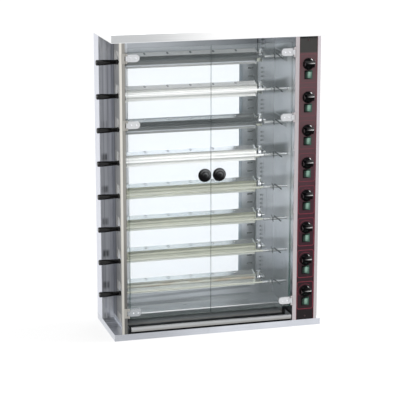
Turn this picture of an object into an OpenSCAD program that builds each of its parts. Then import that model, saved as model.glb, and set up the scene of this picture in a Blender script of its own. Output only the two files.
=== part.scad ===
// Vertical rotisserie broiler: eight motor-driven spits one above the other, a gas burner band
// behind each, two glass doors in front and a control column on the right.
// Millimetres. X runs to the right, Y to the back and Z up. The origin lies on the floor under
// the middle of the base.

/* [Cabinet] */
// Width of the open recess at the left, where the spit grips stand
recess_w = 62; // [54:1:90]
// Width inside the roasting chamber
chamber_w = 848; // [700:2:1000]
// Depth from the front face to the rear frame
chamber_d = 320; // [300:5:400]
// Depth from the rear frame to the back
niche_d = 80; // [70:2:120]
// Width of the control column
column_w = 129; // [128:1:170]
// How far the base reaches past the control column
base_lip = 19; // [5:1:40]
// Height of the base
base_h = 32; // [28:1:60]
// Height of the cap
cap_h = 36; // [24:1:60]
// How far the cap reaches past the base on the right
cap_overhang = 19; // [0:1:40]
// Thickness of the folded sheet
sheet = 2; // [1.5:0.5:3]
// Width of the left wall's front flange
flange_w = 26; // [20:1:30]
// How far the left column stands in front of the rear frame
column_forward = 30; // [0:1:60]
// Width of the front post between the chamber and the control panel
post_w = 18; // [16:1:22]
// Width of the casing's front strip
strip_w = 16; // [12:1:20]
// Width of the flanges that the base turns in under the chamber
base_rim = 30; // [20:1:40]

/* [Levels] */
// Height from the base to the lowest spit
low_clear = 178; // [165:1:240]
// Height between neighbouring spits
spit_pitch = 164; // [150:1:190]
// Height from the top spit to the cap
top_clear = 106; // [92:1:150]
// Distance from the front face back to the spits
spit_setback = 112; // [108:1:125]

/* [Spits] */
// Diameter of the spit rod
rod_d = 10; // [8:0.5:12]
// Diameter of the grip at its thickest
grip_d = 27; // [22:0.5:34]
// Length of the grip
grip_len = 108; // [80:1:130]
// Gap between the grip and the left wall
grip_gap = 6; // [4:1:14]
// Diameter of the drive cup
cup_d = 17; // [16:0.5:26]
// Length of the drive cup
cup_len = 47; // [36:1:60]
// Gap between the drive cup and the right wall
cup_gap = 38; // [24:1:50]
// Diameter of the drive shaft behind the cup
drive_d = 14; // [12:0.5:17]
// Diameter of the cross pin
pin_d = 5; // [4:0.5:6]
// Length of the cross pin
pin_len = 38; // [30:1:44]
// Height of a spit slot at its rear edge
slot_h = 46; // [34:1:54]
// Width of a spit slot behind the rod
slot_w = 66; // [30:1:72]

/* [Burners] */
// Height of a burner band above the spit's height
band_up = 11; // [8:1:16]
// Height of a burner band below the spit's height
band_down = 62; // [54:1:68]
// Depth of a burner band
band_d = 38; // [34:1:46]
// Thickness of the band's sheet, measured along Y
band_t = 2.4; // [1.6:0.2:3]
// Number of holes in a band's lip
band_holes = 5; // [3:1:7]
// Distance between the holes of a lip
band_hole_pitch = 117; // [60:1:130]
// Diameter of a lip hole
band_hole_d = 7; // [4:0.5:9]
// Diameter of a burner tube
burner_d = 16; // [13:0.5:20]
// Wall of a burner tube
burner_wall = 1.5; // [1:0.5:2.5]
// Height of a burner tube below its spit
burner_drop = 22; // [20:1:26]
// Flame ports in a burner tube
port_n = 10; // [6:1:16]
// Diameter of a flame port
port_d = 3; // [2:0.5:5]
// Diameter of a feed tube
feed_d = 10; // [8:0.5:12]

/* [Rear] */
// Margin of the rear frame left of its window
frame_left = 84; // [60:2:110]
// Margin of the rear frame right of its window
frame_right = 93; // [86:1:110]
// Width of the back panel left of its window
back_left = 104; // [80:2:130]
// Width of the back panel right of its window, as far as the chamber wall
back_right = 163; // [140:1:180]
// Thickness of the rear glass
rear_glass_t = 4; // [3:0.5:6]
// How far the rear glass laps the back panel
glass_lap = 14; // [8:1:18]
// Length of a louvre slot
louvre_l = 30; // [20:1:36]
// Height of a louvre slot
louvre_h = 8; // [4:0.5:12]

/* [Doors] */
// Thickness of the door glass
glass_t = 6; // [5:0.5:8]
// Height of the doors' lower edge above the base
door_low = 76; // [66:1:100]
// Gap between the doors' upper edge and the roof panel
door_top_gap = 26; // [6:1:40]
// Gap between the two doors
door_gap = 3; // [2:0.5:6]
// Length of a clamp plate
clamp_l = 58; // [45:1:80]
// Height of a clamp plate
clamp_h = 36; // [32:1:46]
// Thickness of a clamp plate
clamp_t = 3; // [2:0.5:4]
// Diameter of a hinge knuckle
knuckle_d = 10; // [9:0.5:12]
// Diameter of a hinge pin
hinge_pin_d = 5; // [3:0.5:6]
// Diameter of a door pull
pull_d = 66; // [45:1:68]
// Distance from a door's free edge to its pull
pull_inset = 35; // [34.5:0.5:60]
// Height of the pulls above the base
pull_h = 776; // [500:2:1000]

/* [Controls] */
// Diameter of a gas knob
knob_d = 58; // [44:1:60]
// Depth of a gas knob in front of the panel
knob_t = 32; // [24:1:40]
// Height of a knob below its spit
knob_drop = 30; // [28:1:36]
// Diameter of a knob's shaft
knob_shaft_d = 8; // [6:0.5:10]
// Height of a rocker switch below its knob
switch_drop = 53; // [53:1:60]
// Width of a switch bezel
bezel_w = 40; // [32:1:44]
// Height of a switch bezel
bezel_h = 42; // [38:1:44]
// Tilt of a rocker at rest
rocker_tilt = 7; // [4:0.5:9]
// Side of a square gearbox
gearbox_w = 60; // [50:1:64]
// Length of a gearbox
gearbox_l = 42; // [36:1:44]
// Diameter of a motor can
motor_d = 50; // [40:1:52]
// Length of a motor can
motor_l = 28; // [20:1:29]
// Diameter of the gas manifold
manifold_d = 20; // [16:1:22]
// Radius of the inlet's thread
inlet_r = 10.48; // [8:0.01:13]
// Length of the inlet outside the back
inlet_l = 20; // [15:1:40]
// Height of the inlet above the base
inlet_h = 34; // [24:1:60]

/* [Floor] */
// Depth of the floor deflector
deflector_d = 150; // [90:1:170]
// Height of the deflector's front edge above the base
deflector_h = 46; // [44:1:70]
// Rise of the deflector to the rear
deflector_rise = 10; // [4:1:20]
// Height of the drip tray
tray_h = 32; // [26:1:36]
// Wall of the drip tray
tray_t = 1.5; // [1:0.5:2.5]
// Height of the drip tray's front bar
bar_h = 20; // [16:1:24]
// Depth of the drip tray's front bar
bar_d = 14; // [10:1:18]
// How far the front bar stops short of the drip tray's left side
bar_short = 10; // [0:1:40]

/* [Fits] */
// Radial clearance of a turning shaft in its bore
running_fit = 0.05; // [0.02:0.01:0.1]
// Radial clearance of a hole around what passes through it
loose_fit = 0.3; // [0.2:0.05:0.6]
// Gap between pieces that slide or swing past each other
slide_gap = 0.5; // [0.4:0.1:1.5]

/* [Hidden] */
levels = 8;
$fn = 48;

// Overall sizes
cabinet_w = recess_w + sheet + chamber_w + column_w + base_lip;
cabinet_d = chamber_d + niche_d;
stack_h = (levels - 1) * spit_pitch;
cabinet_h = base_h + low_clear + stack_h + top_clear + cap_h;

// Planes of the cabinet
x_left = -cabinet_w / 2;
x_right = cabinet_w / 2;
y_front = -cabinet_d / 2;
y_back = cabinet_d / 2;
y_rear = y_front + chamber_d;
z_base = base_h;
z_cap = cabinet_h - cap_h;
z_roof = z_cap - sheet;
wall_out = x_left + recess_w;
wall_in = wall_out + sheet;
right_in = wall_in + chamber_w;
right_out = right_in + sheet;
casing_out = right_in + column_w;
casing_in = casing_out - sheet;
post_end = right_out + post_w;
strip_end = casing_out - strip_w;
x_seam = (wall_in + right_in) / 2;

// Spits
spit_y = y_front + spit_setback;
function spit_z(k) = z_base + low_clear + (levels - k) * spit_pitch;
rod_r = rod_d / 2;
grip_x1 = wall_out - grip_gap;
grip_x0 = grip_x1 - grip_len;
grip_solid = 12;
cup_x1 = right_in - cup_gap;
cup_x0 = cup_x1 - cup_len;
cup_floor = 8;
cup_pin_at = 12;
drive_in = gearbox_l * 0.6;

// Rear windows, whose upper and lower edges lie behind the outer bands
win_cover = 30;
win_x0 = wall_in + frame_left;
win_x1 = right_in - frame_right;
win_z0 = spit_z(levels) - band_down / 2;
win_z1 = spit_z(1) + band_up - win_cover;
back_x0 = wall_in + back_left;
back_x1 = right_in - back_right;
louvre_gap = 43;
louvre_low = 15;
function louvre_z(k, s) = (spit_z(k) + spit_z(k - 1) + band_up - band_down) / 2
    - louvre_low + s * louvre_gap / 2;
louvre_x = win_x1 - louvre_l * 0.3;
vent_hole_d = 6;
vent_rows = [-1.5, -0.5, 0.5, 1.5];
lip_h = 10;

// Burner bands: the rear frame's face is y = 0 in the profile
band_past_l = 18;
band_short_r = 18;
band_x0 = win_x0 - band_past_l;
band_x1 = win_x1 - band_short_r;
bracket_run = 40;
bracket_x1 = band_x1 + bracket_run;
bracket_t = 2;
bracket_top = 8;
bracket_foot = 58;
bracket_ear = 14;
cheek_t = 2;
cheek_out = 16;
cheek_d = band_d + cheek_out;
lip_back = 8;
lip_drop = 14;
burner_y = -band_d - 2;
port_end = 30;
port_run = band_x1 - band_x0 - 2 * port_end;
burner_x0 = band_x0 - 6;
burner_past = 36;
burner_x1 = band_x1 + burner_past;
lip_hole_at = 0.35;
lip_hole_y = -lip_back - lip_hole_at * (band_d - lip_back);
lip_hole_z = band_up - lip_hole_at * lip_drop;
elbow_x = burner_x1 + 14;
feed_back = 22;
feed_y = y_rear + sheet + feed_back;

// Controls
panel_front = y_front + sheet;
panel_back = panel_front + sheet;
knob_x = (post_end + strip_end) / 2;
function knob_z(k) = spit_z(k) - knob_drop;
function switch_z(k) = knob_z(k) - switch_drop;
knob_gap = 1.5;
skirt_t = 11;
valve_w = 44;
valve_h = 34;
valve_d = 44;
valve_back = panel_back + valve_d;
knob_shaft_in = 24;
shaft_end = 2;
feed_x = knob_x + valve_w / 2 - feed_d / 2 - 2;
manifold_x = knob_x - valve_w / 2 + manifold_d / 2;
manifold_y = valve_back + 4 + manifold_d / 2;
manifold_over = 20;
branch_d = 12;
inlet_pipe_z = z_base + inlet_h;
bezel_flange = 3;
bezel_step = 3;
bezel_depth = 28;
rocker_w = bezel_w - 2 * bezel_step - 3.4;
rocker_h = bezel_h - 2 * bezel_step - 5;
rocker_pivot = panel_front + 4;
trunnion_r = 1.5;
trunnion_l = 1.2;

// Doors
axis_in = 7;
hinge_x = wall_in + axis_in;
hinge_y = y_front - 3;
glass_y0 = y_front + 1 + clamp_t;
glass_y1 = glass_y0 + glass_t;
door_z0 = z_base + door_low;
door_z1 = z_roof - door_top_gap;
glass_edge = hinge_x + 5;
clamp_x = hinge_x + 7;
barrel_h = 23;
knuckle_h = 12;
knuckle_gap = slide_gap;
leaf_t = 2;
leaf_w = 14;
clamp_bolt_r = 3;
clamp_top_gap = 11;
clamp_mid_rise = 39;
clamp_foot_gap = 12;
clamp_zs = [
    door_z1 - clamp_h - clamp_top_gap, spit_z(3) + clamp_mid_rise, door_z0 + clamp_h / 2 + clamp_foot_gap
];
pull_z = z_base + pull_h;
pull_x = x_seam - door_gap / 2 - pull_inset;
pull_neck = 10;
pull_t = 20;

// Floor
tray_gap = 8;
tray_x0 = wall_in + tray_gap;
tray_x1 = right_in - tray_gap;
tray_y0 = y_front + 6;
tray_y1 = y_rear - 4;
tray_z0 = z_base + slide_gap;

// Screws
screw_head_r = 5;
screw_head_h = 2.6;
screw_r = 2;
screw_l = 10;
back_screw_x = [wall_out + 14, casing_in - 14];
back_screw_n = 5;
back_screw_end = 60;
back_screw_run = z_roof - z_base - 2 * back_screw_end;
function back_screw_z(i) = z_base + back_screw_end + i * back_screw_run / (back_screw_n - 1);
panel_screw_end = 18;
panel_screw_z = [z_base + panel_screw_end, z_roof - panel_screw_end];

// A box from its lowest to its highest values on each axis
module box(x, y, z) {
    translate([x[0], y[0], z[0]])
        cube([x[1] - x[0], y[1] - y[0], z[1] - z[0]]);
}

// Cylinders along one axis, from a to b
module rod_x(a, b, y, z, r) {
    translate([a, y, z]) rotate([0, 90, 0]) cylinder(h = b - a, r = r);
}
module rod_y(a, b, x, z, r) {
    translate([x, a, z]) rotate([-90, 0, 0]) cylinder(h = b - a, r = r);
}
module rod_z(a, b, x, y, r) {
    translate([x, y, a]) cylinder(h = b - a, r = r);
}

// A profile drawn in Y and Z, pushed along X from a to b
module along_x(a, b) {
    translate([a, 0, 0]) rotate([90, 0, 90]) linear_extrude(b - a) children();
}

// A profile drawn in X and Z, pushed along Y from a to b
module along_y(a, b) {
    translate([0, b, 0]) rotate([90, 0, 0]) linear_extrude(b - a) children();
}

// The right-hand twin of a left-hand door piece
module twin() {
    translate([2 * x_seam, 0, 0]) mirror([1, 0, 0]) children();
}

// Folded pan with a flat bottom and flanges turned in under the chamber
module base_plinth() {
    color("gainsboro")
    difference() {
        box([x_left, x_right], [y_front, y_back], [0, base_h]);
        box([x_left + sheet, x_right - sheet], [y_front + sheet, y_back - sheet],
            [sheet, base_h - sheet]);
        box([wall_in + base_rim, right_in - base_rim], [y_front + base_rim, y_rear - base_rim],
            [base_h - 2 * sheet, base_h + sheet]);
    }
}

// Folded lid with flue slots in its back
flue_n = 9;
flue_l = 120;
flue_w = 9;
flue_pitch = 24;
flue_rim = 8;
module cap() {
    color("whitesmoke")
    difference() {
        box([x_left, x_right + cap_overhang], [y_front, y_back], [z_cap, cabinet_h]);
        box([x_left + sheet, x_right + cap_overhang - sheet], [y_front + sheet, y_back - sheet],
            [z_cap - sheet, cabinet_h - sheet]);
        for (i = [0 : flue_n - 1])
            translate([x_seam + (i - (flue_n - 1) / 2) * flue_pitch, 0, 0])
                box([-flue_w / 2, flue_w / 2], [y_back - 2 * sheet, y_back + sheet],
                    [z_cap + flue_rim, cabinet_h - flue_rim]);
    }
}

// Flat sheet over the chamber and the column, with a flue window
module roof_panel() {
    color("silver")
    difference() {
        box([x_left, x_right], [y_front, y_back], [z_roof, z_cap]);
        box([x_seam - flue_n * flue_pitch / 2, x_seam + flue_n * flue_pitch / 2],
            [-flue_l / 2, flue_l / 2], [z_roof - sheet, z_cap + sheet]);
    }
}

// Slot that a spit lifts out of, drawn around the rod's axis
module slot_2d() {
    seat = rod_r + loose_fit;
    circle(r = seat);
    polygon([[-seat, 0], [0, -seat], [slot_w, -seat], [slot_w, slot_h]]);
}

// Chamber wall with an outward flange and one slot for each spit
module left_wall() {
    color("silver")
    difference() {
        union() {
            box([wall_out, wall_in], [y_front, y_rear], [z_base, z_roof]);
            box([wall_out - flange_w, wall_in], [y_front, y_front + sheet], [z_base, z_roof]);
        }
        for (k = [1 : levels])
            translate([0, spit_y, spit_z(k)])
                along_x(wall_out - sheet, wall_in + sheet) slot_2d();
    }
}

// Box column that closes the rear of the recess
module left_column() {
    y0 = y_rear - column_forward;
    color("gray")
    difference() {
        box([x_left, wall_out], [y0, y_back], [z_base, z_roof]);
        box([x_left + sheet, wall_out - sheet], [y0 + sheet, y_back - sheet],
            [z_base - sheet, z_roof + sheet]);
    }
}

// Chamber wall with the front post folded on, and a hole for each drive shaft
module right_wall() {
    color("silver")
    difference() {
        union() {
            box([right_in, right_out], [y_front, y_rear], [z_base, z_roof]);
            box([right_in, post_end], [y_front, y_front + sheet], [z_base, z_roof]);
        }
        for (k = [1 : levels])
            rod_x(right_in - sheet, right_out + sheet, spit_y, spit_z(k), drive_d / 2 + loose_fit);
    }
}

// Inner rear frame with its window, and a hole for each feed tube
module rear_frame() {
    color("darkgray")
    difference() {
        box([wall_out, right_out], [y_rear, y_rear + sheet], [z_base, z_roof]);
        box([win_x0, win_x1], [y_rear - sheet, y_rear + 2 * sheet], [win_z0, win_z1]);
        for (k = [1 : levels])
            rod_y(y_rear - sheet, y_rear + 2 * sheet, elbow_x, spit_z(k) - burner_drop,
                feed_d / 2 + loose_fit);
        for (k = [2 : levels], s = vent_rows)
            rod_y(y_rear - sheet, y_rear + 2 * sheet, elbow_x, louvre_z(k, s), vent_hole_d / 2);
    }
}

// Back panel with its window, glazing channels and louvre slots
module back_panel() {
    x0 = back_x0 - glass_lap;
    x1 = back_x1 + glass_lap;
    y1 = y_back - sheet;
    y0 = y1 - rear_glass_t - slide_gap;
    low = win_z0 - glass_lap;
    high = win_z1 + glass_lap;
    color("darkgray")
    difference() {
        union() {
            box([wall_out, casing_in], [y1, y_back], [z_base, z_roof]);
            box([x0, x1], [y0 - sheet, y1], [low - sheet, low]);
            box([x0, x1], [y0 - sheet, y0], [low - sheet, low + lip_h]);
            box([x0, x1], [y0 - sheet, y1], [high + slide_gap, high + slide_gap + sheet]);
            box([x0, x1], [y0 - sheet, y0], [high - lip_h, high + slide_gap + sheet]);
        }
        box([back_x0, back_x1], [y1 - sheet, y_back + sheet], [win_z0, win_z1]);
        for (k = [2 : levels], s = [-1, 1])
            translate([0, 0, louvre_z(k, s)])
                box([louvre_x - louvre_l / 2, louvre_x + louvre_l / 2],
                    [y1 - sheet, y_back + sheet], [-louvre_h / 2, louvre_h / 2]);
        for (x = back_screw_x, i = [0 : back_screw_n - 1])
            rod_y(y1 - sheet, y_back + sheet, x, back_screw_z(i), screw_r + loose_fit);
        rod_y(y1 - sheet, y_back + sheet, manifold_x, inlet_pipe_z,
            max(inlet_r, manifold_d / 2) + loose_fit);
    }
}

// Fixed pane behind the burners
module rear_glass() {
    color("lightcyan", 0.4)
    box([back_x0 - glass_lap, back_x1 + glass_lap],
        [y_back - sheet - rear_glass_t, y_back - sheet],
        [win_z0 - glass_lap, win_z1 + glass_lap]);
}

// Sloping sheet that drains to the tray, with a hemmed front edge
module floor_deflector() {
    y0 = y_rear - deflector_d;
    z0 = z_base + deflector_h;
    hem = 4.5;
    color("slategray") {
        along_x(wall_in, right_in)
            polygon([[y0, z0], [y_rear, z0 + deflector_rise],
                     [y_rear, z0 + deflector_rise + sheet], [y0, z0 + sheet]]);
        rod_x(wall_in, right_in, y0, z0 + sheet / 2, hem);
    }
}

// Sliding pan with a bar across its front
module drip_tray() {
    bar_z = tray_z0 + tray_h - bar_h;
    color("dimgray")
    difference() {
        union() {
            box([tray_x0, tray_x1], [tray_y0, tray_y1], [tray_z0, tray_z0 + tray_h]);
            box([tray_x0 + bar_short, tray_x1], [tray_y0 - bar_d, tray_y0 + tray_t],
                [bar_z, tray_z0 + tray_h]);
        }
        box([tray_x0 + tray_t, tray_x1 - tray_t], [tray_y0 + tray_t, tray_y1 - tray_t],
            [tray_z0 + tray_t, tray_z0 + tray_h + 1]);
    }
}

// Fixed half of one left hinge, with its pin
module hinge_bracket(z) {
    inner = barrel_h / 2 + knuckle_gap;
    outer = inner + knuckle_h;
    box([wall_out - leaf_w, wall_out], [y_front - leaf_t, y_front], [z - outer, z + outer]);
    for (s = [[-outer, -inner], [inner, outer]]) {
        rod_z(z + s[0], z + s[1], hinge_x, hinge_y, knuckle_d / 2);
        box([wall_out - leaf_t, hinge_x], [hinge_y - leaf_t / 2, y_front], [z + s[0], z + s[1]]);
    }
    rod_z(z - outer, z + outer, hinge_x, hinge_y, hinge_pin_d / 2);
}

module hinge_brackets() {
    color("lightgray") {
        for (z = clamp_zs) hinge_bracket(z);
        twin() for (z = clamp_zs) hinge_bracket(z);
    }
}

// Offsets of a clamp's two bolts along X
clamp_bolts = [16, clamp_l - clamp_h / 2];

module left_glass() {
    color("lightcyan", 0.4)
    difference() {
        box([glass_edge, x_seam - door_gap / 2], [glass_y0, glass_y1], [door_z0, door_z1]);
        for (z = clamp_zs, b = clamp_bolts)
            rod_y(glass_y0 - 1, glass_y1 + 1, clamp_x + b, z, clamp_bolt_r + loose_fit);
        rod_y(glass_y0 - 1, glass_y1 + 1, pull_x, pull_z, 5 + loose_fit);
    }
}

module right_glass() {
    twin() left_glass();
}

// Plate with one round end, seen from the front
module clamp_2d(z) {
    translate([clamp_x, z - clamp_h / 2]) square([clamp_l - clamp_h / 2, clamp_h]);
    translate([clamp_x + clamp_l - clamp_h / 2, z]) circle(d = clamp_h);
}

// Plates on both faces of the glass, bolted together, with the hinge barrel on the front plate
module left_clamps() {
    color("white")
    for (z = clamp_zs)
        difference() {
            union() {
                along_y(glass_y0 - clamp_t, glass_y0) clamp_2d(z);
                along_y(glass_y1, glass_y1 + clamp_t) clamp_2d(z);
                for (b = clamp_bolts)
                    rod_y(glass_y0 - clamp_t, glass_y1 + clamp_t, clamp_x + b, z, clamp_bolt_r);
                rod_z(z - barrel_h / 2, z + barrel_h / 2, hinge_x, hinge_y, knuckle_d / 2);
                box([hinge_x, clamp_x + 4], [hinge_y - 2, glass_y0],
                    [z - barrel_h / 2, z + barrel_h / 2]);
            }
            rod_z(z - barrel_h, z + barrel_h, hinge_x, hinge_y, hinge_pin_d / 2 + running_fit);
        }
}

module right_clamps() {
    twin() left_clamps();
}

// Round pull on a neck, with its stud through the glass and a nut behind
module left_pull() {
    color("black")
    translate([pull_x, glass_y0, pull_z]) rotate([90, 0, 0])
        rotate_extrude()
            polygon([[0, -glass_t - 6], [9, -glass_t - 6], [9, -glass_t], [5, -glass_t], [5, 0],
                     [12, 0], [10, pull_neck - 2], [pull_d / 2 - 6, pull_neck],
                     [pull_d / 2 - 1, pull_neck + 4], [pull_d / 2, pull_neck + 8],
                     [pull_d / 2 - 2, pull_neck + pull_t - 5],
                     [pull_d / 2 - 7, pull_neck + pull_t - 1],
                     [pull_d / 2 - 14, pull_neck + pull_t], [0, pull_neck + pull_t]]);
}

module right_pull() {
    twin() left_pull();
}

// Panel behind the post and the strip, drilled for the knobs and cut for the switches
module control_panel() {
    lap = 8;
    cut_w = bezel_w - 2 * bezel_step + 2 * loose_fit;
    cut_h = bezel_h - 2 * bezel_step + 2 * loose_fit;
    color("maroon")
    difference() {
        box([post_end - lap, strip_end + lap], [panel_front, panel_back], [z_base, z_roof]);
        for (k = [1 : levels]) {
            rod_y(panel_front - 1, panel_back + 1, knob_x, knob_z(k), knob_shaft_d / 2 + loose_fit);
            translate([knob_x, 0, switch_z(k)])
                box([-cut_w / 2, cut_w / 2], [panel_front - 1, panel_back + 1],
                    [-cut_h / 2, cut_h / 2]);
        }
        for (z = panel_screw_z)
            rod_y(panel_front - 1, panel_back + 1, knob_x, z, screw_r + loose_fit);
    }
}

// Right side of the column, with the front strip folded on
module control_casing() {
    color("silver") {
        box([casing_in, casing_out], [y_front, y_back], [z_base, z_roof]);
        box([strip_end, casing_out], [y_front, y_front + sheet], [z_base, z_roof]);
    }
}

// Section of a burner band; the rear frame's face is at y = 0 and the spit's height at z = 0
function band_front() = [
    [-lip_back, band_up], [-band_d, band_up - lip_drop], [-band_d + 8, band_up - lip_drop - 5],
    [-band_d + 16, -band_down + 8], [-band_d + 4, -band_down]
];
function pushed(points, t) = [for (i = [len(points) - 1 : -1 : 0]) points[i] + [t, 0]];
module band_2d() {
    polygon(concat(band_front(), pushed(band_front(), band_t)));
}
module cheek_2d() {
    polygon([[0, band_up + 3], [-lip_back - 2, band_up + 3], [-cheek_d, band_up - lip_drop + 2],
             [-cheek_d, -burner_drop - 14], [-band_d, -band_down - 2], [0, -band_down - 2]]);
}

// Bent bands across the rear window, a cheek at each end and a bracket from the right one to the frame
module reflectors() {
    color("lightgoldenrodyellow")
    for (k = [1 : levels])
        translate([0, y_rear, spit_z(k)])
            difference() {
                union() {
                    along_x(band_x0, band_x1) band_2d();
                    along_x(band_x0, band_x0 + cheek_t) cheek_2d();
                    along_x(band_x1 - cheek_t, band_x1) cheek_2d();
                    box([band_x1 - cheek_t, bracket_x1], [-bracket_t, 0], [-bracket_foot, -bracket_top]);
                    box([bracket_x1 - bracket_t, bracket_x1], [-bracket_ear, 0],
                        [-bracket_foot, -bracket_top]);
                }
                for (i = [0 : band_holes - 1])
                    rod_z(lip_hole_z - 8, lip_hole_z + 8,
                        (band_x0 + band_x1) / 2 + (i - (band_holes - 1) / 2) * band_hole_pitch,
                        lip_hole_y, band_hole_d / 2);
                rod_x(band_x0 - 1, band_x1 + 1, burner_y, -burner_drop, burner_d / 2 + loose_fit);
            }
}

// Tubes with a row of flame ports, open at the right end
module burner_tubes() {
    color("rosybrown")
    for (k = [1 : levels])
        translate([0, y_rear + burner_y, spit_z(k) - burner_drop])
            difference() {
                rod_x(burner_x0, burner_x1, 0, 0, burner_d / 2);
                rod_x(burner_x0 + 4, burner_x1 + 1, 0, 0, burner_d / 2 - burner_wall);
                for (i = [0 : port_n - 1])
                    rod_y(-burner_d, 0, band_x0 + port_end + i * port_run / (port_n - 1), 0,
                        port_d / 2);
            }
}

// Tubes from the valves along the column, across the niche and forward to the burners
module feed_tubes() {
    r = feed_d / 2;
    y_burner = y_rear + burner_y;
    color("lightgray")
    for (k = [1 : levels])
        translate([0, 0, spit_z(k) - burner_drop]) {
            rod_y(valve_back, feed_y, feed_x, 0, r);
            translate([feed_x, feed_y, 0]) sphere(r = r);
            rod_x(elbow_x, feed_x, feed_y, 0, r);
            translate([elbow_x, feed_y, 0]) sphere(r = r);
            rod_y(y_burner, feed_y, elbow_x, 0, r);
            translate([elbow_x, y_burner, 0]) sphere(r = r);
            rod_x(burner_x1, elbow_x, y_burner, 0, r);
            rod_x(burner_x1, burner_x1 + 4, y_burner, 0, burner_d / 2);
        }
}

// Valve bodies on the back of the panel, bored for the knob shafts
module gas_valves() {
    color("goldenrod")
    for (k = [1 : levels])
        translate([knob_x, 0, knob_z(k)])
            difference() {
                box([-valve_w / 2, valve_w / 2], [panel_back, valve_back],
                    [-valve_h / 2, valve_h / 2]);
                rod_y(panel_back - 1, panel_back + knob_shaft_in + shaft_end, 0, 0,
                    knob_shaft_d / 2 + running_fit);
            }
}

// Upright pipe with a branch to each valve and the inlet through the back
module gas_manifold() {
    r = manifold_d / 2;
    color("darkgoldenrod") {
        rod_z(inlet_pipe_z, knob_z(1) + manifold_over, manifold_x, manifold_y, r);
        for (k = [1 : levels])
            rod_y(valve_back, manifold_y, manifold_x, knob_z(k), branch_d / 2);
        translate([manifold_x, manifold_y, inlet_pipe_z]) sphere(r = r);
        rod_y(manifold_y, y_back, manifold_x, inlet_pipe_z, r);
        rod_y(y_back, y_back + inlet_l, manifold_x, inlet_pipe_z, inlet_r);
    }
}

// Gearbox and motor of each spit, bored for the drive shaft
module gearmotors() {
    color("dimgray")
    for (k = [1 : levels])
        translate([0, spit_y, spit_z(k)])
            difference() {
                union() {
                    box([right_out, right_out + gearbox_l], [-gearbox_w / 2, gearbox_w / 2],
                        [-gearbox_w / 2, gearbox_w / 2]);
                    rod_x(right_out + gearbox_l, right_out + gearbox_l + motor_l, 0, 0, motor_d / 2);
                }
                rod_x(right_out - 1, right_out + drive_in + 1, 0, 0, drive_d / 2 + running_fit);
            }
}

// Frames of the switches, with the holes that the rockers tilt in
module switch_bezels() {
    body_w = bezel_w - 2 * bezel_step;
    body_h = bezel_h - 2 * bezel_step;
    hole_w = rocker_w + 2 * loose_fit;
    hole_h = rocker_h + 3;
    color("black")
    for (k = [1 : levels])
        translate([knob_x, 0, switch_z(k)])
            difference() {
                union() {
                    box([-bezel_w / 2, bezel_w / 2], [panel_front - bezel_flange, panel_front],
                        [-bezel_h / 2, bezel_h / 2]);
                    box([-body_w / 2, body_w / 2], [panel_front, panel_front + bezel_depth],
                        [-body_h / 2, body_h / 2]);
                }
                box([-hole_w / 2, hole_w / 2],
                    [panel_front - bezel_flange - 1, panel_front + bezel_depth - 3],
                    [-hole_h / 2, hole_h / 2]);
                rod_x(-hole_w / 2 - trunnion_l, hole_w / 2 + trunnion_l, rocker_pivot, 0,
                    trunnion_r + running_fit);
            }
}

// A screw with its head at the front of its hole, pointing along +Y
module screw() {
    rod_y(-screw_head_h, 0, 0, 0, screw_head_r);
    rod_y(0, screw_l, 0, 0, screw_r);
}
module screws() {
    color("silver") {
        for (x = back_screw_x, i = [0 : back_screw_n - 1])
            translate([x, y_back, back_screw_z(i)]) mirror([0, 1, 0]) screw();
        for (z = panel_screw_z)
            translate([knob_x, panel_front, z]) screw();
    }
}

// Rod with its cross pin, and the drive cup and shaft that it turns with
module spit(k) {
    r = cup_d / 2;
    pin_x = cup_x0 + cup_pin_at;
    color("silver")
    translate([0, spit_y, spit_z(k)]) {
        rod_x(grip_x0 + grip_solid, cup_x1 - cup_floor - 1, 0, 0, rod_r);
        rotate([45, 0, 0]) rod_y(-pin_len / 2, pin_len / 2, pin_x, 0, pin_d / 2);
        difference() {
            union() {
                rod_x(cup_x0, cup_x1, 0, 0, r);
                rod_x(cup_x1, right_out + drive_in, 0, 0, drive_d / 2);
            }
            rod_x(cup_x0 - 1, cup_x1 - cup_floor, 0, 0, rod_r + loose_fit);
            rotate([45, 0, 0])
                box([cup_x0 - 1, pin_x + pin_d / 2 + loose_fit], [-r - 1, r + 1],
                    [-pin_d / 2 - loose_fit, pin_d / 2 + loose_fit]);
        }
    }
}

// Turned grip, waisted towards the wall
module grip(k) {
    r = grip_d / 2;
    n = grip_len;
    color("black")
    translate([grip_x0, spit_y, spit_z(k)]) rotate([0, 90, 0])
        difference() {
            rotate_extrude()
                polygon([[0, 0], [r - 4, 0], [r - 1, 1.5], [r, 5], [r, n * 0.3], [r - 2.5, n - 26],
                         [r - 2.5, n - 9], [r - 0.5, n - 6], [r - 0.5, n - 1.5], [r - 2, n], [0, n]]);
            translate([0, 0, grip_solid]) cylinder(h = n, r = rod_r);
        }
}

// Knob with a skirt, a bar to hold and a shaft into the valve
module knob(k) {
    r = knob_d / 2;
    bar_w = 14;
    y0 = panel_front - knob_gap;
    color("black")
    translate([knob_x, 0, knob_z(k)]) {
        translate([0, y0, 0]) rotate([90, 0, 0])
            rotate_extrude()
                polygon([[0, 0], [r, 0], [r, 5], [r - 2, skirt_t - 2], [r - 5, skirt_t], [0, skirt_t]]);
        along_y(y0 - knob_t, y0 - skirt_t / 2) {
            square([knob_d - bar_w - 4, bar_w], center = true);
            for (s = [-1, 1]) translate([s * (knob_d - bar_w - 4) / 2, 0]) circle(d = bar_w);
        }
        rod_y(y0, panel_back + knob_shaft_in, 0, 0, knob_shaft_d / 2);
    }
}

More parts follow.
